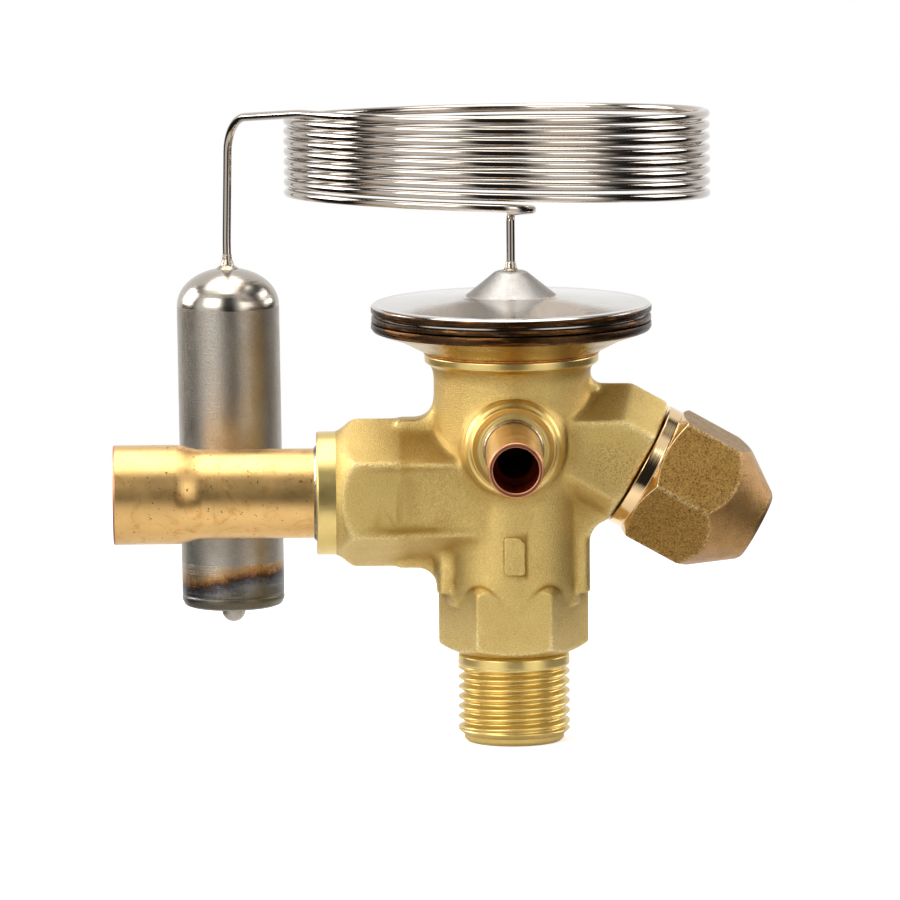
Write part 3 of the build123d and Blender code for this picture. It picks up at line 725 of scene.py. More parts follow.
def cut_forging():
    """The body's solid as one clean mesh, open below the hexagon where the thread is put on."""
    mesh = NODES["valve_body"].data.copy()
    work = bmesh.new()
    work.from_mesh(mesh)
    bmesh.ops.remove_doubles(work, verts=work.verts, dist=1e-6)
    cut = bmesh.ops.bisect_plane(
        work, geom=work.verts[:] + work.edges[:] + work.faces[:], dist=1e-7,
        plane_co=(0, 0, HEX_FOOT * MM), plane_no=(0, 0, 1), clear_inner=True,
    )
    rim = [e for e in cut["geom_cut"] if isinstance(e, bmesh.types.BMEdge)]
    bmesh.ops.bridge_loops(work, edges=rim)
    bmesh.ops.recalc_face_normals(work, faces=work.faces)
    work.to_mesh(mesh)
    work.free()
    mesh.materials.clear()
    return mesh


def with_modifier(mesh, name, kind, **settings):
    """A mesh changed by one modifier."""
    blank = put(name, mesh)
    change = blank.modifiers.new(name, kind)
    for key, value in settings.items():
        setattr(change, key, value)
    return baked(blank)


def eased(share):
    """A share held from 0 to 1 and eased at both ends."""
    share = np.clip(share, 0, 1)
    return share**2 * (3 - 2 * share)


def corner_angle(across, deep):
    """How far round each point is from the nearest corner of the lower hexagon."""
    return np.abs((np.arctan2(deep, across) + math.pi / 6) % (math.pi / 3) - math.pi / 6)


def dress_blank(points):
    """Arches the hexagon's corners, fades its flats into the trunk and clears the pad's place."""
    across, deep, height = points.T
    radius = np.hypot(across, deep)
    outside = (radius > 8.0) & (height < 25.0)
    from_corner = corner_angle(across, deep)
    arch = 22.9 - 1.25 * (from_corner / math.radians(14)) ** 2
    beside_web = np.abs(deep) > WEB_HALF
    corners = outside & (height > 20.0) & beside_web & (radius > TRUNK_RADIUS)
    limit = TRUNK_RADIUS + 1.4 * np.maximum(arch - height, 0)
    flat = HEX_FLAT / np.cos(math.pi / 6 - from_corner)
    swell = np.maximum(flat, HEX_FLAT + (TRUNK_RADIUS - HEX_FLAT) * eased((height - 18.5) / 5.5))
    faces = outside & (flat < 9.75) & beside_web
    limit = np.where(faces, np.minimum(swell, limit), limit)
    pad = (np.abs(across - PAD_MIDDLE[0]) < 2.4) & (deep < -8) & (height > 23.8) & (height < 31.6)
    limit = np.where(pad, TRUNK_RADIUS, limit)
    share = np.where(corners | faces | pad, np.minimum(1, limit / np.maximum(radius, 1e-6)), 1)
    free = eased((np.abs(deep) - WEB_HALF) / 1.1)
    points[:, :2] *= (1 + (share - 1) * free)[:, None]


def painted_shade_marks(points):
    """Painted shade: arches over the hexagon's corners, a line round the raised pad and bands along the
    arm.
    """
    across, deep, height = points.T
    from_corner = corner_angle(across, deep)
    # Painted shade in an arch over each corner of the hexagon, where the corner meets the trunk.
    arch = 23.1 - 1.3 * (from_corner / math.radians(15)) ** 2
    over = np.exp(-(((height - arch) / 0.33) ** 2)) * np.clip(1.6 - from_corner / math.radians(12), 0, 1)
    over = np.where(np.hypot(across, deep) > 8.6, over, 0.0)
    past_side = np.maximum(np.abs(across - PAD_MIDDLE[0]) - 1.55, 0)
    past_end = np.maximum(np.abs(height - PAD_MIDDLE[1]) - 2.75, 0)
    from_pad = np.hypot(past_side, past_end)
    # The line round the pad is painted darker to its right and below, as if lit from the upper left.
    shade = 0.55 + 0.45 * np.clip((across - 0.3) / 1.2 - (height - PAD_MIDDLE[1]) / 5, -1, 1)
    beside = np.where(deep < -8.5, np.exp(-((from_pad / 0.32) ** 2)) * shade, 0.0)
    # Painted shade in two bands along the arm's front, where its surface turns under.
    arm = np.clip((across + 21.5) / 2.5, 0, 1) * np.clip((-8.5 - across) / 2.5, 0, 1) * (deep < -5.0)
    along = 0.45 * np.exp(-(((height - 40.0) / 0.5) ** 2)) + 0.8 * np.exp(-(((height - 31.3) / 0.75) ** 2))
    return np.clip(np.maximum(np.maximum(over, beside), arm * along), 0, 1)


def softness(points):
    """The points in bores, which stay, and how far the other points soften and their creases fill."""
    radius, height = in_place(points, UPRIGHT)
    arm_radius, arm_height = in_place(points, ARM)
    boss_radius, boss_height = in_place(points, BOSS)
    ring_radius, ring_height = in_place(points, EQUALIZER)
    # Every bore stays as it was cut.
    bore = (radius < 7.35) & ((height > 42.5) | (height < 19.4)) | (radius < 4.4)
    bore |= (arm_radius < 6.6) & (arm_height > 5) | (boss_radius < 3.8) & (boss_height > -7)
    bore |= (ring_radius < 4.2) & (ring_height > 7)
    # Turned ends and the hexagon's flats keep nearly all of their edges, the hexagon's top some.
    machined = (arm_height > 24.9) | (height > 54.2) | (boss_height > 0.2) & (boss_radius < 8)
    low = (height < 23.8) & (radius < 11.5)
    crisp = low & (height < 21.0)
    # The arm and the boss soften most, the trunk a little less.
    branch = (arm_height > 10.5) | (boss_height > -9.0) & (boss_radius < 12)
    soft = np.where(branch, 1.0, 0.7)
    soft = np.where(bore, 0.0, np.where(machined | crisp, 0.15, np.where(low, 0.35, soft)))
    return bore, soft[:, None], np.where(low, 0.4, 1.0)[:, None]


def under_ends(points, start):
    """Pulls the skin in under the separate turned ends, at zones taken before it was softened."""
    arm_radius, arm_height = in_place(start, ARM)
    boss_radius, boss_height = in_place(start, BOSS)
    ring_radius, ring_height = in_place(start, EQUALIZER)
    radius, height = in_place(points, UPRIGHT)
    squeeze(points, ARM, (arm_height > 25.0) & (arm_radius > 7), radius=8.5, height=27.5)
    squeeze(points, UPRIGHT, (height > 54.6) & (radius > 8), radius=12.1, height=55.2)
    spigot = (boss_height > 0.5) & (boss_radius > 4.5) & (boss_radius < 7)
    squeeze(points, BOSS, spigot, radius=5.3, height=7.8)
    squeeze(points, EQUALIZER, (ring_height > 12.3) & (ring_radius < 7.4), height=12.3)


def forged_body(voxel, rounds):
    """The forging: the solid with its corners softened and its creases filled as a die leaves them."""
    skin = {"mode": "VOXEL", "voxel_size": voxel * MM, "adaptivity": 0.0}
    mesh = with_modifier(cut_forging(), "skin", "REMESH", **skin)
    count = len(mesh.vertices)
    points = read_points(mesh) / MM
    edges = np.empty(len(mesh.edges) * 2, np.int32)
    mesh.edges.foreach_get("vertices", edges)
    edges = edges.reshape(-1, 2)
    dress_blank(points)
    start = points.copy()
    bore, soft, filled = softness(points)
    for _ in range(rounds):
        points += 0.5 * soft * (neighbour_mean(points, edges, count) - points)
    for _ in range(FILLS):
        write_points(mesh, points)
        mesh.update()
        normals = read_points(mesh, "vertex_normals", "vector")
        for _ in range(rounds):
            pull = np.sum((neighbour_mean(points, edges, count) - points) * normals, axis=1)
            points += 0.5 * soft * filled * np.maximum(pull, 0)[:, None] * normals
    blurred = points.copy()
    for _ in range(BLURS):
        blurred += 0.5 * (neighbour_mean(blurred, edges, count) - blurred)
    bend = np.sum((blurred - points) * normals, axis=1)
    # Painted shade marks, laid into the crease mark below and kept off the wear of the ridges.
    scale = painted_shade_marks(points)
    arched = np.abs(points[:, 2] - 22) < 2.2
    # The first mark is painted shade, deeper in concave places and under the painted shade marks; the
    # second is wear on convex edges.
    marks = {
        "crease": np.clip(np.maximum(bend / 0.24, scale), 0, 1),
        "ridge": np.where(arched, 0.0, np.clip(-bend / 0.22 - 0.25, 0, 1) * (1 - scale)),
    }
    under_ends(points, start)
    write_points(mesh, points)
    for key, numbers in marks.items():
        numbers[bore] = 0.0
        mesh.attributes.new(key, "FLOAT", "POINT").data.foreach_set("value", numbers.astype(np.float32))
    mesh = with_modifier(mesh, "thin", "DECIMATE", ratio=FORGING_TRIANGLES / (2 * len(mesh.polygons)))
    return settle("forged_body", mesh, forged_brass, ("valve_body",))


def raised_pad():
    """A low cast pad on the trunk's front, one corner cut off."""
    left, right, low, high, cut = -1.5, 1.65, 24.8, 30.4, 0.95
    corners = [(left, low), (right, low), (right, high - cut), (right - cut, high), (left, high)]
    outline = rounded(corners, 0.6)
    middle = Vector(((left + right) / 2, (low + high) / 2))
    edge, back, front = 0.42, -9.2, -10.13
    bends = (0, 0.4, 0.8, 1.2, math.pi / 2)
    rings = [(0.0, back)] + [
        (edge * (1 - math.cos(a)), front + edge * (1 - math.sin(a))) for a in bends
    ]
    vertices, count = [], len(outline)
    for inset, deep in rings:
        for point in outline:
            inward = (middle - point).normalized() * inset
            vertices.append((point.x + inward.x, deep, point.y + inward.y))
    faces = ring_faces(len(rings), count, closed=False)
    faces += [tuple(range(count)), tuple((len(rings) - 1) * count + k for k in range(count))]
    new_piece("raised_pad", vertices, faces, forged_brass)


# --- Threads ------------------------------------------------------------------------------------
def thread_tree():
    """Cuts a rounded V thread into the outer wall of an upright turned blank."""
    tree, size = new_tree(
        "screw_thread",
        {
            "Pitch": "NodeSocketFloat", "Depth": "NodeSocketFloat", "Start": "NodeSocketFloat",
            "End": "NodeSocketFloat", "Inner Radius": "NodeSocketFloat", "Finish": "NodeSocketMaterial",
        },
    )
    spot = add(tree, "ShaderNodeSeparateXYZ", {"Vector": add(tree, "GeometryNodeInputPosition").outputs[0]})
    across, deep, height = spot.outputs
    angle = calc(tree, "ARCTAN2", deep, across)
    turns = times(tree, angle, 1 / (2 * math.pi))
    rise = calc(tree, "DIVIDE", height, size["Pitch"])
    phase = calc(tree, "SUBTRACT", rise, turns)
    wave = calc(tree, "PINGPONG", phase, 0.5)
    groove = ranged(tree, wave, 0.02, 0.48, smooth=True)
    open_low = ranged(tree, height, size["Start"], calc(tree, "ADD", size["Start"], 0.5 * MM))
    open_high = ranged(tree, height, size["End"], calc(tree, "SUBTRACT", size["End"], 0.9 * MM))
    flat = add(tree, "ShaderNodeCombineXYZ", {"X": across, "Y": deep}).outputs[0]
    radius = vector(tree, "LENGTH", flat, result=1)
    outer = calc(tree, "GREATER_THAN", radius, size["Inner Radius"])
    bite = size["Depth"]
    for share in (groove, open_low, open_high, outer):
        bite = times(tree, bite, share)
    inward = vector(tree, "NORMALIZE", flat)
    back = times(tree, bite, -1.0)
    offset = add(tree, "ShaderNodeVectorMath", {0: inward, "Scale": back}, operation="SCALE").outputs[0]
    moved = add(tree, "GeometryNodeSetPosition", {"Geometry": size["Geometry"], "Offset": offset})
    close_tree(tree, moved.outputs[0], size["Finish"])
    return tree


def threaded(name, outline, tree, sizes, maker, place, body="valve", segments=144):
    """A turned blank whose outer wall gets a real helical thread."""
    vertices, faces, run = spun(outline, 0.12, segments)
    blank = put(name + "_blank", mesh_of(name, vertices, faces, {"run": run}))
    cutter = blank.modifiers.new("thread", "NODES")
    cutter.node_group = tree
    for key, value in sizes.items():
        set_input(cutter, key, value * MM)
    set_input(cutter, "Finish", finish_of(maker))
    mesh = baked(blank)
    stand(mesh, place)
    return settle(name, mesh, maker, (), body)


def wall(radius, low, high, step=0.1):
    """Close rows of points up a straight wall, sharp enough for a thread."""
    rows = round((high - low) / step)
    return [(radius, low + (high - low) * k / rows, 0) for k in range(rows + 1)]


def machined_ends(sizes):
    """Crisp turned ends over the forging: flare thread, collars, equalizer ring and boss spigot."""
    tree = thread_tree()
    major = sizes.thread_diameter / 2
    threaded(
        "inlet_thread",
        [(5.3, 0, 0.3), (6.55, 0, 0.3), (7.05, 0.45, 0.2), (7.05, 1.0, 0.1)] + wall(major, 1.75, 11.2)
        + [(major - 0.05, 12.3, 0.2), (major - 0.7, 12.95, 0.1), (5.3, 12.95, 0)],
        tree,
        {"Pitch": sizes.thread_pitch, "Depth": 0.86, "Start": 1.75, "End": 11.2, "Inner Radius": 7.2},
        turned_brass, UPRIGHT,
    )
    turned(
        "outlet_collar",
        [(8.2, 24.55), (8.75, 24.55, 0.05), (8.72, 27.72, 0.25), (6.38, 27.72, 0.2), (6.38, 26.5)],
        turned_brass, place=ARM,
    )
    turned(
        "neck_collar",
        [(11.2, 53.4, 0.2), (12.3, 54.25, 0.3), (12.3, 55.33, 0.25), (7.25, 55.33, 0.2), (7.25, 53.9)],
        turned_brass,
    )
    turned(
        "equalizer_ring",
        [(4.0, 11.0), (7.0, 11.0, 0), (6.93, 11.6, 0.2), (6.55, 12.35, 0.25), (6.1, 12.6, 0.25)]
        + [(5.9, 13.35, 0.2), (5.2, 13.15, 0.3), (4.3, 13.3, 0.2), (4.0, 13.3, 0.1)],
        satin_ring_brass, place=EQUALIZER,
    )
    threaded(
        "boss_spigot",
        [(3.62, -0.4, 0), (7.3, -0.4, 0), (7.3, 0.03, 0.05), (6.3, 0.03, 0.2)]
        + [(5.6, 0.5, 0.2), (5.6, 1.4, 0.2)] + wall(SPIGOT_DIA / 2, 1.9, 7.4)
        + [(5.75, 8.0, 0.15), (3.62, 8.0, 0.15)],
        tree,
        {"Pitch": SPIGOT_PITCH, "Depth": 0.8, "Start": 1.9, "End": 8.4, "Inner Radius": 5.7},
        turned_brass, BOSS,
    )


# --- Tubes and brazes ---------------------------------------------------------------------------
def paint_faces(piece, maker, test):
    """Gives another finish to the faces whose centre in millimetres and normal pass a test."""
    piece.data.materials.append(finish_of(maker))
    number = len(piece.data.materials) - 1
    for face in piece.data.polygons:
        if test(face.center / MM, face.normal):
            face.material_index = number


def tubes():
    """Outlet and equalizer tubes with cut ends, and the brazes that hold them."""
    steps = [k / 10 for k in range(11)]
    flare = [(3 * k**2 - 2 * k**3, 43.9 + 4.0 * k) for k in steps]
    outlet = turned(
        "outlet_tube_dressed",
        [(5.65, 18.7), (6.35, 18.7)] + [(6.35 + 0.7 * s, h, 0) for s, h in flare]
        + [(7.05, 56.5, 0.25), (6.4, 56.5, 0.2), (6.4, 46.9, 0.3), (5.65, 45.0, 0.5)],
        drawn_copper, ("outlet_tube",), place=ARM,
    )
    paint_faces(outlet, cut_copper, lambda c, n: c.x < -56.2)
    turned(
        "outlet_braze_dressed",
        [(6.35, 27.7, 0), (6.85, 27.7, 0.05), (6.6, 27.95, 0.3), (6.37, 28.2, 0.1)],
        silver_braze, ("outlet_braze",), place=ARM,
    )
    equalizer = turned(
        "equalizer_tube_dressed",
        [(2.4, 9.5), (3.95, 9.5), (3.9, 35.0, 0.25), (3.2, 35.0, 0.2), (3.2, 26.0, 0.3), (2.4, 25.2)],
        drawn_copper, ("equalizer_tube",), place=EQUALIZER,
    )
    paint_faces(equalizer, cut_copper, lambda c, n: c.y < -34.75)
    paint_faces(
        equalizer, oxidised_copper,
        lambda c, n: math.hypot(c.x, c.z - EQUALIZER_HEIGHT) < 3.3 and c.y > -34.7,
    )
    turned(
        "equalizer_braze_dressed",
        [(3.95, 13.2, 0), (4.4, 13.2, 0.1), (4.32, 13.7, 0.25), (3.97, 14.25, 0.1)],
        silver_braze, ("equalizer_braze",), place=EQUALIZER,
    )


# --- Diaphragm element --------------------------------------------------------------------------
def element():
    """Dish, rim layers and cover of the diaphragm element, with the braze under it."""
    rim = ELEMENT_RADIUS
    dish = turned(
        "element_dish",
        [(6.9, 55.6), (12.4, 55.6, 0.1), (13.0, 55.95, 0.4), (15.9, 57.4, 3.0), (rim - 1.2, 58.3, 0.6)]
        + [(rim - 0.3, 58.65, 0.2), (rim, 59.1, 0.3), (rim - 0.05, 59.85, 0.15), (17.0, 59.9), (15.0, 58.6)]
        + [(10.2, 56.9), (6.9, 56.7)],
        pressed_brass, ("element_base",), segments=192,
    )
    turned(
        "element_braze_dressed",
        [(7.6, 55.36, 0), (12.36, 55.36, 0.05), (12.5, 55.5, 0.1), (12.36, 55.62, 0.05), (7.6, 55.62, 0)],
        orange_braze, ("element_braze",),
    )
    turned(
        "rim_ring",
        [(17.2, 59.9, 0), (rim - 0.4, 59.9, 0.1), (rim - 0.06, 60.12, 0.15), (rim - 0.1, 60.7, 0.15)]
        + [(rim - 0.4, 60.88, 0.1), (17.2, 60.88, 0)],
        tinted_rim_steel, ("diaphragm_ring",), segments=192,
    )
    paint_faces(dish, tinted_rim_steel, lambda c, n: math.hypot(c.x, c.y) > rim - 0.75)
    cover = turned(
        "element_cover_dressed",
        [(0.62, 62.4, 0), (8.0, 62.2), (16.6, 61.7), (17.2, 61.1, 0), (rim - 0.3, 61.1, 0.15)]
        + [(rim, 61.35, 0.2), (rim, 62.1, 0.3), (rim - 0.35, 62.4, 0.3), (rim - 1.5, 62.42, 1.0)]
        + [(7.6, 63.4, 1.5), (6.4, 63.55, 0.6), (5.5, 64.25, 0.8), (2.35, 66.8, 0.5)]
        + [(1.85, 67.0, 0.2), (0.62, 67.0, 0)],
        polished_steel, ("element_cover",), segments=192,
    )
    paint_faces(cover, tinted_rim_steel, lambda c, n: math.hypot(c.x, c.y) > rim - 0.2 and c.z < 62.1)
    paint_faces(cover, frosted_steel, lambda c, n: math.hypot(c.x, c.y) < 6.35 and c.z > 63.4)
    turned(
        "capillary_collar_dressed",
        [(0.6, 66.9, 0), (1.2, 66.98, 0.1), (0.85, 67.4, 0.5), (0.68, 68.3, 0.3), (0.6, 68.4, 0)],
        silver_braze, ("capillary_collar",), corner=0.05, segments=48,
    )
    settle_node("diaphragm", polished_steel)


# --- Capillary ----------------------------------------------------------------------------------
COIL_RADIUS = 29.7
COIL_CENTRE = Vector((-1.66, 8.0, 0.0))
COIL_TILT = math.radians(3.8)
COIL_TOP_LEFT, COIL_TOP_RIGHT = 87.08, 87.63
COIL_PITCH_LEFT, COIL_PITCH_RIGHT = 1.446, 1.608
COIL_TURNS = 8
STEM_TOP = 75.4
BULB_TOP = 65.4
OVER_BULB = Vector((BULB_FOOT.x + 0.1, BULB_FOOT.y, 86.85))


def arc_through(start, end, bulge, steps):
    """Points along half a circle from start to end that bulges to one side."""
    middle, half = (start + end) / 2, (end - start) / 2
    out = bulge * half.length
    angles = [math.pi * k / steps for k in range(steps + 1)]
    return [middle - half * math.cos(a) + out * math.sin(a) for a in angles]


def bent(corners, radii, steps=10):
    """Points along straight runs whose inner corners are bent to radii."""
    points = [corners[0]]
    for before, here, after, radius in zip(corners, corners[1:], corners[2:], radii):
        a, b = (before - here).normalized(), (after - here).normalized()
        turn = a.angle(b)
        reach = radius / math.tan(turn / 2)
        middle = here + (a + b).normalized() * (radius / math.sin(turn / 2))
        start, end = (here + a * reach - middle).normalized(), (here + b * reach - middle).normalized()
        points += [middle + start.slerp(end, k / steps) * radius for k in range(steps + 1)]
    return points + [corners[-1]]


def capillary_line(sizes):
    """Centreline of the capillary from the element's cone, round the coil and down to the bulb."""
    back = Vector((0, math.cos(COIL_TILT), -math.sin(COIL_TILT)))
    rise = Vector((0, math.sin(COIL_TILT), math.cos(COIL_TILT))) / math.cos(COIL_TILT)
    sides = []
    for side, top, pitch in ((-1, COIL_TOP_LEFT, COIL_PITCH_LEFT), (1, COIL_TOP_RIGHT, COIL_PITCH_RIGHT)):
        reach = COIL_CENTRE + Vector((side * COIL_RADIUS, 0, 0))
        sides.append([reach + rise * (top - k * pitch) for k in range(COIL_TURNS + 1)])
    left, right = sides
    lead_left = COIL_CENTRE + Vector((-COIL_RADIUS, 0, 0)) + rise * (COIL_TOP_LEFT + COIL_PITCH_LEFT)

    last, first = left[COIL_TURNS - 1], right[COIL_TURNS]
    middle, half = (last + first) / 2, (last - first) / 2
    level = half.normalized()
    front = middle - back * half.length
    stem = [Vector((0, 0, 64.5)), Vector((0, 0, STEM_TOP)), front - level * 5.7, front]
    line = bent(stem, (1.8, 4.4))
    quarter = [math.pi / 2 * k / 24 for k in range(1, 25)]
    line += [middle - back * half.length * math.cos(a) + half * math.sin(a) for a in quarter]
    for k in range(COIL_TURNS - 1, -1, -1):
        line += arc_through(left[k], right[k], back, 48)[1:]
        if k:
            line += arc_through(right[k], left[k - 1], -back, 48)[1:]
    middle, across = (right[0] + lead_left) / 2, (lead_left - right[0]) / 2
    outward = -back * across.length
    angles = [math.radians(-90 + 151 * k / 40) for k in range(1, 41)]
    line += [middle + across * math.sin(a) + outward * math.cos(a) for a in angles]
    turn = math.radians(61)
    heading = (across * math.cos(turn) - outward * math.sin(turn)).normalized()
    leave = line[-1]
    drop = [BULB @ Vector((0, 0, BULB_TOP + above)) for above in (4.0, -1.5)]
    line += bent([leave, leave + heading * 4, OVER_BULB, *drop], (50, 5.4, 50))[1:]
    return line


def wire_tree():
    """Sweeps a round wire along a centreline."""
    sizes = {"Diameter": "NodeSocketFloat", "Sides": "NodeSocketInt", "Finish": "NodeSocketMaterial"}
    tree, size = new_tree("drawn_wire", sizes)
    ring = {"Resolution": size["Sides"], "Radius": times(tree, size["Diameter"], 0.5)}
    section = add(tree, "GeometryNodeCurvePrimitiveCircle", ring).outputs["Curve"]
    sweep = {"Curve": size["Geometry"], "Profile Curve": section, "Fill Caps": True}
    close_tree(tree, add(tree, "GeometryNodeCurveToMesh", sweep).outputs[0], size["Finish"])
    return tree


def capillary(sizes):
    """The coiled capillary as one drawn wire."""
    line = capillary_line(sizes)
    curve = bpy.data.curves.new("capillary_line", "CURVE")
    curve.dimensions = "3D"
    spline = curve.splines.new("POLY")
    spline.points.add(len(line) - 1)
    for point, place in zip(spline.points, line):
        point.co = [c * MM for c in place] + [1.0]
    blank = put("capillary_line", curve)
    wire = blank.modifiers.new("wire", "NODES")
    wire.node_group = wire_tree()
    set_input(wire, "Diameter", sizes.capillary_diameter * MM)
    set_input(wire, "Sides", sizes.capillary_sides)
    set_input(wire, "Finish", finish_of(drawn_steel_wire))
    settle("capillary_coil", baked(blank), drawn_steel_wire, ("capillary_tube",))


# --- Sensing bulb -------------------------------------------------------------------------------
def sensing_bulb():
    """Bulb can, its welded foot, the sealed filling tip and the collar at the capillary."""
    radius, wall_thickness, dome = 7.3, 0.7, 5.3
    shoulder = BULB_TOP - dome
    arc = [math.pi / 2 * k / 14 for k in range(15)]
    outer = [(radius * math.cos(a), shoulder + dome * math.sin(a), 0) for a in arc[:-1]]
    inner = [
        ((radius - wall_thickness) * math.cos(a), shoulder + (dome - wall_thickness) * math.sin(a), 0)
        for a in reversed(arc[:-1])
    ]
    can = turned(
        "bulb_can",
        [(radius - wall_thickness, 18.65, 0), (radius - 0.05, 18.65, 0.05), (radius, 18.9, 0.1)] + outer
        + [(0.61, 65.38, 0), (0.61, 64.7, 0)] + inner,
        brushed_bulb_steel, ("bulb_shell",), place=BULB, corner=0.0,
    )
    paint_faces(can, tinted_bulb_steel, lambda c, n: c.z < 24.0)
    paint_faces(can, polished_bulb_steel, lambda c, n: c.z > shoulder - 0.1)
    turned(
        "bulb_foot",
        [(0, 16.8, 0), (radius - 1.1, 16.8, 0.8), (radius - 0.35, 17.1, 0.5), (radius, 17.9, 0.5)]
        + [(radius, 18.45, 0.1), (radius - 0.12, 18.55, 0.05), (radius, 18.66, 0.05)]
        + [(radius - 0.7, 18.66, 0), (radius - 0.7, 19.8, 0), (radius - 1.7, 19.8, 0)]
        + [(radius - 1.7, 17.8, 0), (0, 17.8, 0)],
        tinted_bulb_steel, ("bulb_end_cap",), place=BULB,
    )
    ball = [math.pi * k / 24 - math.pi / 2 for k in range(25)]
    turned(
        "filling_tip",
        [(1.7 * math.cos(a), 16.15 + 1.7 * math.sin(a), 0) for a in ball],
        brushed_bulb_steel, ("charge_tip",), place=BULB, corner=0.0, segments=64,
    )
    turned(
        "bulb_collar_dressed",
        [(0.6, 64.9, 0), (2.0, 64.9, 0), (1.55, 65.35, 0.3), (1.0, 65.75, 0.4), (0.72, 66.6, 0.5)]
        + [(0.66, 67.3, 0.1), (0.6, 67.4, 0)],
        silver_braze, ("bulb_collar",), place=BULB, corner=0.1, segments=64,
    )


# --- Seal cap -----------------------------------------------------------------------------------
CAP_ACROSS = 18.45
CAP_TURN = math.radians(33.5)
CAP_BLEND = 0.22


def cap_hexagon(point, angle):
    """Radius of the cap with its six flats cut at an angle, and the wear of the edges."""
    if point.y <= 1.9 or point.x <= 4.5 or (point.x < 6.5 and point.y < 9.5):
        return point.x, 0.0
    off = (angle - CAP_TURN) % (math.pi / 3) - math.pi / 6
    flat = CAP_ACROSS / 2 / math.cos(off)
    gap = point.x - flat
    share = max(0.0, min(1.0, 0.5 - gap / (2 * CAP_BLEND)))
    corner = math.exp(-(((math.pi / 6 - abs(off)) / 0.03) ** 2))
    worn = max(math.exp(-((gap / 0.2) ** 2)), corner if gap > 0 else 0.0)
    return flat * (1 - share) + point.x * share - CAP_BLEND * share * (1 - share), worn


def seal_cap():
    """Cap nut: turned collar, chamfered hexagon and conical nose, hollow over the spigot."""
    collar, nose, end = 9.2, 5.15, 19.1
    corner = CAP_ACROSS / 2 / math.cos(math.pi / 6)
    outline = rounded(
        [(6.4, 0.15, 0.1), (collar, 0.15, 0.15), (collar, 1.95, 0.25), (9.08, 2.06, 0.05)]
        + [(corner + 0.1, 3.2, 0.2), (corner + 0.1, 11.2, 0.4), (nose + 0.25, end - 0.45, 0.3)]
        + [(nose - 0.35, end, 0.3), (0, end, 0), (0, 14.5, 0), (3.5, 14.5), (3.5, 8.9), (6.4, 8.9, 0.1)],
        0.1,
    )
    section = []
    for i, point in enumerate(outline):
        after = outline[(i + 1) % len(outline)]
        fine = 0.12 if point.y < 3.6 else 0.3
        steps = max(1, math.ceil((after - point).length / fine)) if point.x > 6.6 and point.y > 2 else 1
        section += [point.lerp(after, k / steps) for k in range(steps)]
    segments = 288
    vertices, run, ridge = revolved(section, segments, cap_hexagon)
    piece = new_piece(
        "seal_cap_dressed", vertices, ring_faces(len(section), segments), blasted_cap_brass,
        ("seal_cap",), "cap", BOSS, {"run": run, "ridge": ridge},
    )
    out = BOSS.col[2].xyz
    paint_faces(piece, mirror_brass, lambda c, n: (c - BOSS_FACE).dot(out) < 2.15 or n.dot(out) < -0.3)
    paint_faces(piece, turned_cap_brass, lambda c, n: (c - BOSS_FACE).dot(out) > 10.5 and n.dot(out) > 0.3)


# --- Working parts ------------------------------------------------------------------------------
def settle_node(name, maker):
    """Puts a finish on a solid that keeps its own mesh."""
    mesh = NODES[name].data
    mesh.materials.clear()
    mesh.materials.append(finish_of(maker))


def working_parts():
    """Finishes of the parts that show when the valve is taken apart."""
    finishes = {
        turned_inner_brass: (
            "pressure_pad", "guide_bush", "spring_seat",
            "spindle_gland", "orifice_housing", "spring_retainer",
        ),
        turned_inner_steel: ("push_rod", "thrust_button", "adjusting_spindle", "valve_cone"),
        spring_wire: ("superheat_spring", "cone_spring"),
        moulded_rubber: ("rod_seal", "spindle_seal"),
        annealed_copper: ("cap_gasket", "orifice_gasket"),
        woven_gauze: ("strainer",),
    }
    for maker, names in finishes.items():
        for name in names:
            settle_node(name, maker)


# --- Stage --------------------------------------------------------------------------------------
CAMERA_PLACE = Vector((-29.505793, -1976.716543, 305.763501))
CAMERA_TURN = [math.radians(a) for a in (82.386095, 0.495592, -0.666248)]
CAMERA_LENS = 564.0
# The floor's half width, and how far from the middle, in metres, it turns white to the camera
# and gives way to the cards in a reflection.
FLOOR_HALF = 6.0
SEEN_WHITE = (0.08, 0.3)
MIRRORED_CARDS = (0.045, 0.09)
# Softboxes: place, height aimed at, size (all in metres), setting and its share.
LAMPS = {
    "overhead": ((-0.05, 0.05, 0.65), 0.05, (0.6, 0.6), "overhead_watts", 1.0),
    "side_left": ((-0.80, 0.28, 0.38), 0.04, (0.5, 0.5), "side_watts", 1.0),
    "side_right": ((0.80, 0.28, 0.38), 0.04, (0.5, 0.5), "side_watts", 0.6),
    "key_left": ((-0.60, -0.70, 0.45), 0.04, (0.6, 0.5), "key_watts", 1.0),
    "fill_right": ((0.65, -0.70, 0.35), 0.04, (0.5, 0.5), "right_watts", 1.0),
}
# Tones of the cards round the stage by the share of a turn.
CARDS = (
    (0.0, 1.0), (0.13, 1.0), (0.165, 0.02), (0.265, 0.02), (0.30, 1.0), (0.435, 1.0), (0.465, 0.02),
    (0.54, 0.02), (0.575, 1.0), (0.65, 1.0), (0.69, 0.02), (0.85, 0.02), (0.89, 1.0), (1.0, 1.0),
)


def softbox(name, place, aim, size, watts):
    """A white softbox that looks at a height above the origin, sizes in metres."""
    data = bpy.data.lights.new(name, "AREA")
    data.shape, data.size, data.size_y = "RECTANGLE", size[0], size[1]
    data.energy = watts
    lamp = put(name, data)
    lamp.location = place
    lamp.rotation_euler = (Vector((0, 0, aim)) - Vector(place)).to_track_quat("-Z", "Y").to_euler()


def dark_cards(tree, across, deep):
    """Tone of the tall soft cards round the stage, by the way they stand in from the object."""
    around = calc(tree, "ARCTAN2", across, times(tree, deep, -1.0))
    turn = ranged(tree, around, -math.pi, math.pi)
    tones = [(at, [level] * 3 + [1.0]) for at, level in CARDS]
    return add(tree, "ShaderNodeValToRGB", {"Fac": turn}, stops=tones).outputs["Color"]


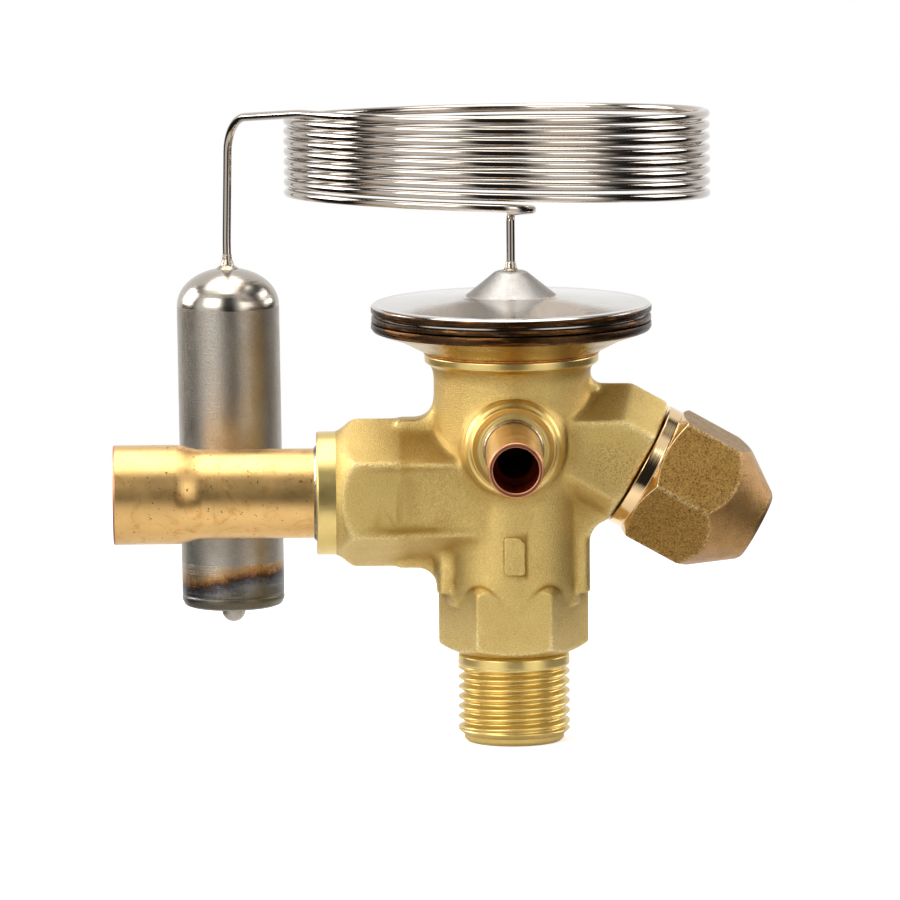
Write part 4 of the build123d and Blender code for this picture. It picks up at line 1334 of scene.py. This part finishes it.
def studio_floor(tone):
    """A pale floor that turns to plain white away from the object."""
    mesh = bpy.data.meshes.new("floor")
    corners = [(FLOOR_HALF * x, FLOOR_HALF * y, 0) for x, y in ((-1, -1), (1, -1), (1, 1), (-1, 1))]
    mesh.from_pydata(corners, [], [(0, 1, 2, 3)])
    floor = put("floor", mesh)
    material = bpy.data.materials.new("white_paper_sweep")
    tree = emptied(material)
    where = add(tree, "ShaderNodeTexCoord").outputs["Object"]
    apart = vector(tree, "LENGTH", where, result=1)
    far = ranged(tree, apart, *SEEN_WHITE, smooth=True)
    edge = ranged(tree, apart, *MIRRORED_CARDS)
    parts = add(tree, "ShaderNodeSeparateXYZ", {"Vector": where}).outputs
    cards = dark_cards(tree, parts["X"], parts["Y"])
    path, mirrored = mirrored_ray(tree)
    tint = mixed(tree, mirrored, (1, 1, 1, 1), cards)
    paper = add(tree, "ShaderNodeBsdfDiffuse", {"Color": (*tone, 1.0)}).outputs[0]
    glow = times(tree, path["Is Camera Ray"], 0.45)
    lift = add(tree, "ShaderNodeEmission", {"Color": (1, 1, 1, 1), "Strength": glow}).outputs[0]
    close = add(tree, "ShaderNodeAddShader", {0: paper, 1: lift}).outputs[0]
    white = add(tree, "ShaderNodeEmission", {"Color": tint, "Strength": 1.0}).outputs[0]
    share = calc(tree, "MAXIMUM", times(tree, far, path["Is Camera Ray"]), times(tree, edge, mirrored))
    both = add(tree, "ShaderNodeMixShader", {0: share, 1: close, 2: white}).outputs[0]
    add(tree, "ShaderNodeOutputMaterial", {"Surface": both})
    mesh.materials.append(material)


def studio_world(fill):
    """White round the object, with soft dark cards that only metal sees."""
    world = bpy.data.worlds.new("studio")
    bpy.context.scene.world = world
    tree = emptied(world)
    where = add(tree, "ShaderNodeTexCoord").outputs["Generated"]
    way = add(tree, "ShaderNodeSeparateXYZ", {"Vector": where}).outputs
    cards = dark_cards(tree, way["X"], way["Y"])
    high = ranged(tree, way["Z"], 0.74, 0.92, smooth=True)
    seen_by_metal = mixed(tree, high, cards, (1, 1, 1, 1))
    path, glossy = mirrored_ray(tree)
    even = mixed(tree, glossy, (fill, fill, fill, 1), seen_by_metal)
    colour = mixed(tree, path["Is Camera Ray"], even, (1, 1, 1, 1))
    light = add(tree, "ShaderNodeBackground", {"Color": colour, "Strength": 1.0}).outputs[0]
    add(tree, "ShaderNodeOutputWorld", {"Surface": light})


def stage(settings):
    """Floor, world, softboxes and camera."""
    studio_floor(settings.floor_colour)
    studio_world(settings.fill)
    for name, (place, aim, size, setting, share) in LAMPS.items():
        softbox(name, place, aim, size, share * getattr(settings, setting))
    bpy.context.scene.view_settings.view_transform = "Standard"
    camera = bpy.data.cameras.new("camera")
    camera.sensor_width = 36.0
    camera.lens = CAMERA_LENS
    camera.clip_start, camera.clip_end = 0.05, 50.0
    eye = put("camera", camera)
    eye.location = CAMERA_PLACE * MM
    eye.rotation_euler = CAMERA_TURN
    bpy.context.scene.camera = eye


# --- Add-on -------------------------------------------------------------------------------------
class ValveSizes(PropertyGroup):
    """Sizes of the dressed pieces, in millimetres."""

    skin_step: FloatProperty(
        name="Skin step", description="Cell of the forging's skin", default=0.22, min=0.15, max=1.0
    )
    softening: IntProperty(
        name="Softening", description="Rounds of smoothing over the forging", default=20, min=0, max=60
    )
    thread_diameter: FloatProperty(
        name="Thread diameter", description="Over the crests of the flare thread",
        default=THREAD_DIA, min=5, max=40,
    )
    thread_pitch: FloatProperty(
        name="Thread pitch", description="From crest to crest", default=THREAD_PITCH, min=0.3, max=4
    )
    capillary_diameter: FloatProperty(
        name="Capillary diameter", description="Outside of the capillary",
        default=CAPILLARY_DIA, min=0.5, max=4,
    )
    capillary_sides: IntProperty(
        name="Capillary sides", description="Faces round the capillary", default=16, min=6, max=32
    )


def watts_of(name, description, default):
    """A lamp's power that a user may change."""
    return FloatProperty(name=name, description=description, default=default, min=0, max=50, unit="POWER")


def tone_of(name, description, code):
    """A colour that a user may change."""
    return FloatVectorProperty(
        name=name, description=description, subtype="COLOR", size=3, default=linear(code)[:3], min=0, max=1
    )


class ValveColours(PropertyGroup):
    """Colour of each finish."""

    forging: tone_of("Forging", "Sand-blasted brass of the body", "DDC078")
    machined: tone_of("Machined", "Threads and turned ends", "DDC47E")
    cap: tone_of("Cap", "Hexagon of the seal cap", "AC8648")
    collar: tone_of("Collar", "Mirror collar of the seal cap", "EBCB9C")
    copper: tone_of("Copper", "Outside of the tubes", "E0B877")
    cut: tone_of("Cut copper", "Cut ends of the tubes", "D9946E")
    braze: tone_of("Braze", "Silver braze and collars of the capillary", "C4BCAE")
    dish: tone_of("Dish", "Lower half of the element", "C9AE6A")
    rim: tone_of("Rim", "Heat tint of the element's rim", "48321F")
    cover: tone_of("Cover", "Polished top of the element", "CFCBC5")
    capillary: tone_of("Capillary", "Drawn wire of the coil", "B9B0A6")
    bulb: tone_of("Bulb", "Brushed side of the bulb", "B4ADA2")


class ValveStudio(PropertyGroup):
    """Light and floor."""

    floor_colour: FloatVectorProperty(
        name="Floor", description="Colour of the floor", subtype="COLOR", size=3,
        default=(0.8, 0.8, 0.8), min=0, max=1,
    )
    fill: FloatProperty(name="Fill", description="Light from all round", default=0.5, min=0, max=2)
    overhead_watts: watts_of("Overhead", "Power of the softbox above", 3.4)
    side_watts: watts_of("Side", "Power of the softbox at the left side; the right one has 0.6 of it", 6.5)
    key_watts: watts_of("Key", "Power of the softbox at the front left", 4.8)
    right_watts: watts_of("Right", "Power of the softbox at the front right", 1.8)


class VALVE_OT_forged_body(Operator):
    """Builds the softened forging and the machined ends on it"""

    bl_idname = "valve.forged_body"
    bl_label = "Forged body"

    def execute(self, context):
        sizes = context.scene.valve_sizes
        forged_body(sizes.skin_step, sizes.softening)
        raised_pad()
        machined_ends(sizes)
        return {"FINISHED"}


class VALVE_OT_tubes(Operator):
    """Builds the outlet and equalizer tubes and their brazes"""

    bl_idname = "valve.tubes"
    bl_label = "Tubes"

    def execute(self, context):
        tubes()
        return {"FINISHED"}


class VALVE_OT_element(Operator):
    """Builds the diaphragm element"""

    bl_idname = "valve.element"
    bl_label = "Diaphragm element"

    def execute(self, context):
        element()
        return {"FINISHED"}


class VALVE_OT_capillary(Operator):
    """Winds the capillary coil"""

    bl_idname = "valve.capillary"
    bl_label = "Capillary"

    def execute(self, context):
        capillary(context.scene.valve_sizes)
        return {"FINISHED"}


class VALVE_OT_bulb(Operator):
    """Builds the sensing bulb"""

    bl_idname = "valve.bulb"
    bl_label = "Sensing bulb"

    def execute(self, context):
        sensing_bulb()
        return {"FINISHED"}


class VALVE_OT_seal_cap(Operator):
    """Builds the seal cap"""

    bl_idname = "valve.seal_cap"
    bl_label = "Seal cap"

    def execute(self, context):
        seal_cap()
        return {"FINISHED"}


class VALVE_OT_working_parts(Operator):
    """Finishes the parts inside the valve"""

    bl_idname = "valve.working_parts"
    bl_label = "Working parts"

    def execute(self, context):
        working_parts()
        return {"FINISHED"}


class VALVE_OT_stage(Operator):
    """Sets the floor, the light and the camera"""

    bl_idname = "valve.stage"
    bl_label = "Stage"

    def execute(self, context):
        stage(context.scene.valve_studio)
        return {"FINISHED"}


OPERATORS = (
    VALVE_OT_forged_body, VALVE_OT_tubes, VALVE_OT_element, VALVE_OT_capillary,
    VALVE_OT_bulb, VALVE_OT_seal_cap, VALVE_OT_working_parts, VALVE_OT_stage,
)


class VALVE_PT_build(Panel):
    """Lists the steps that dress the valve"""

    bl_label = "Valve"
    bl_idname = "VALVE_PT_build"
    bl_space_type = "VIEW_3D"
    bl_region_type = "UI"
    bl_category = "Valve"

    def draw(self, context):
        for group in (context.scene.valve_sizes, context.scene.valve_colours, context.scene.valve_studio):
            for key in group.__annotations__:
                self.layout.prop(group, key)
        for operator in OPERATORS:
            self.layout.operator(operator.bl_idname)


CLASSES = (ValveSizes, ValveColours, ValveStudio, *OPERATORS, VALVE_PT_build)


def register():
    for cls in CLASSES:
        bpy.utils.register_class(cls)
    bpy.types.Scene.valve_sizes = PointerProperty(type=ValveSizes)
    bpy.types.Scene.valve_colours = PointerProperty(type=ValveColours)
    bpy.types.Scene.valve_studio = PointerProperty(type=ValveStudio)


def unregister():
    del bpy.types.Scene.valve_studio
    del bpy.types.Scene.valve_colours
    del bpy.types.Scene.valve_sizes
    for cls in reversed(CLASSES):
        bpy.utils.unregister_class(cls)


def main():
    register()
    for operator in OPERATORS:
        group, step = operator.bl_idname.split(".")
        getattr(getattr(bpy.ops, group), step)()


if __name__ == "__main__":
    main()
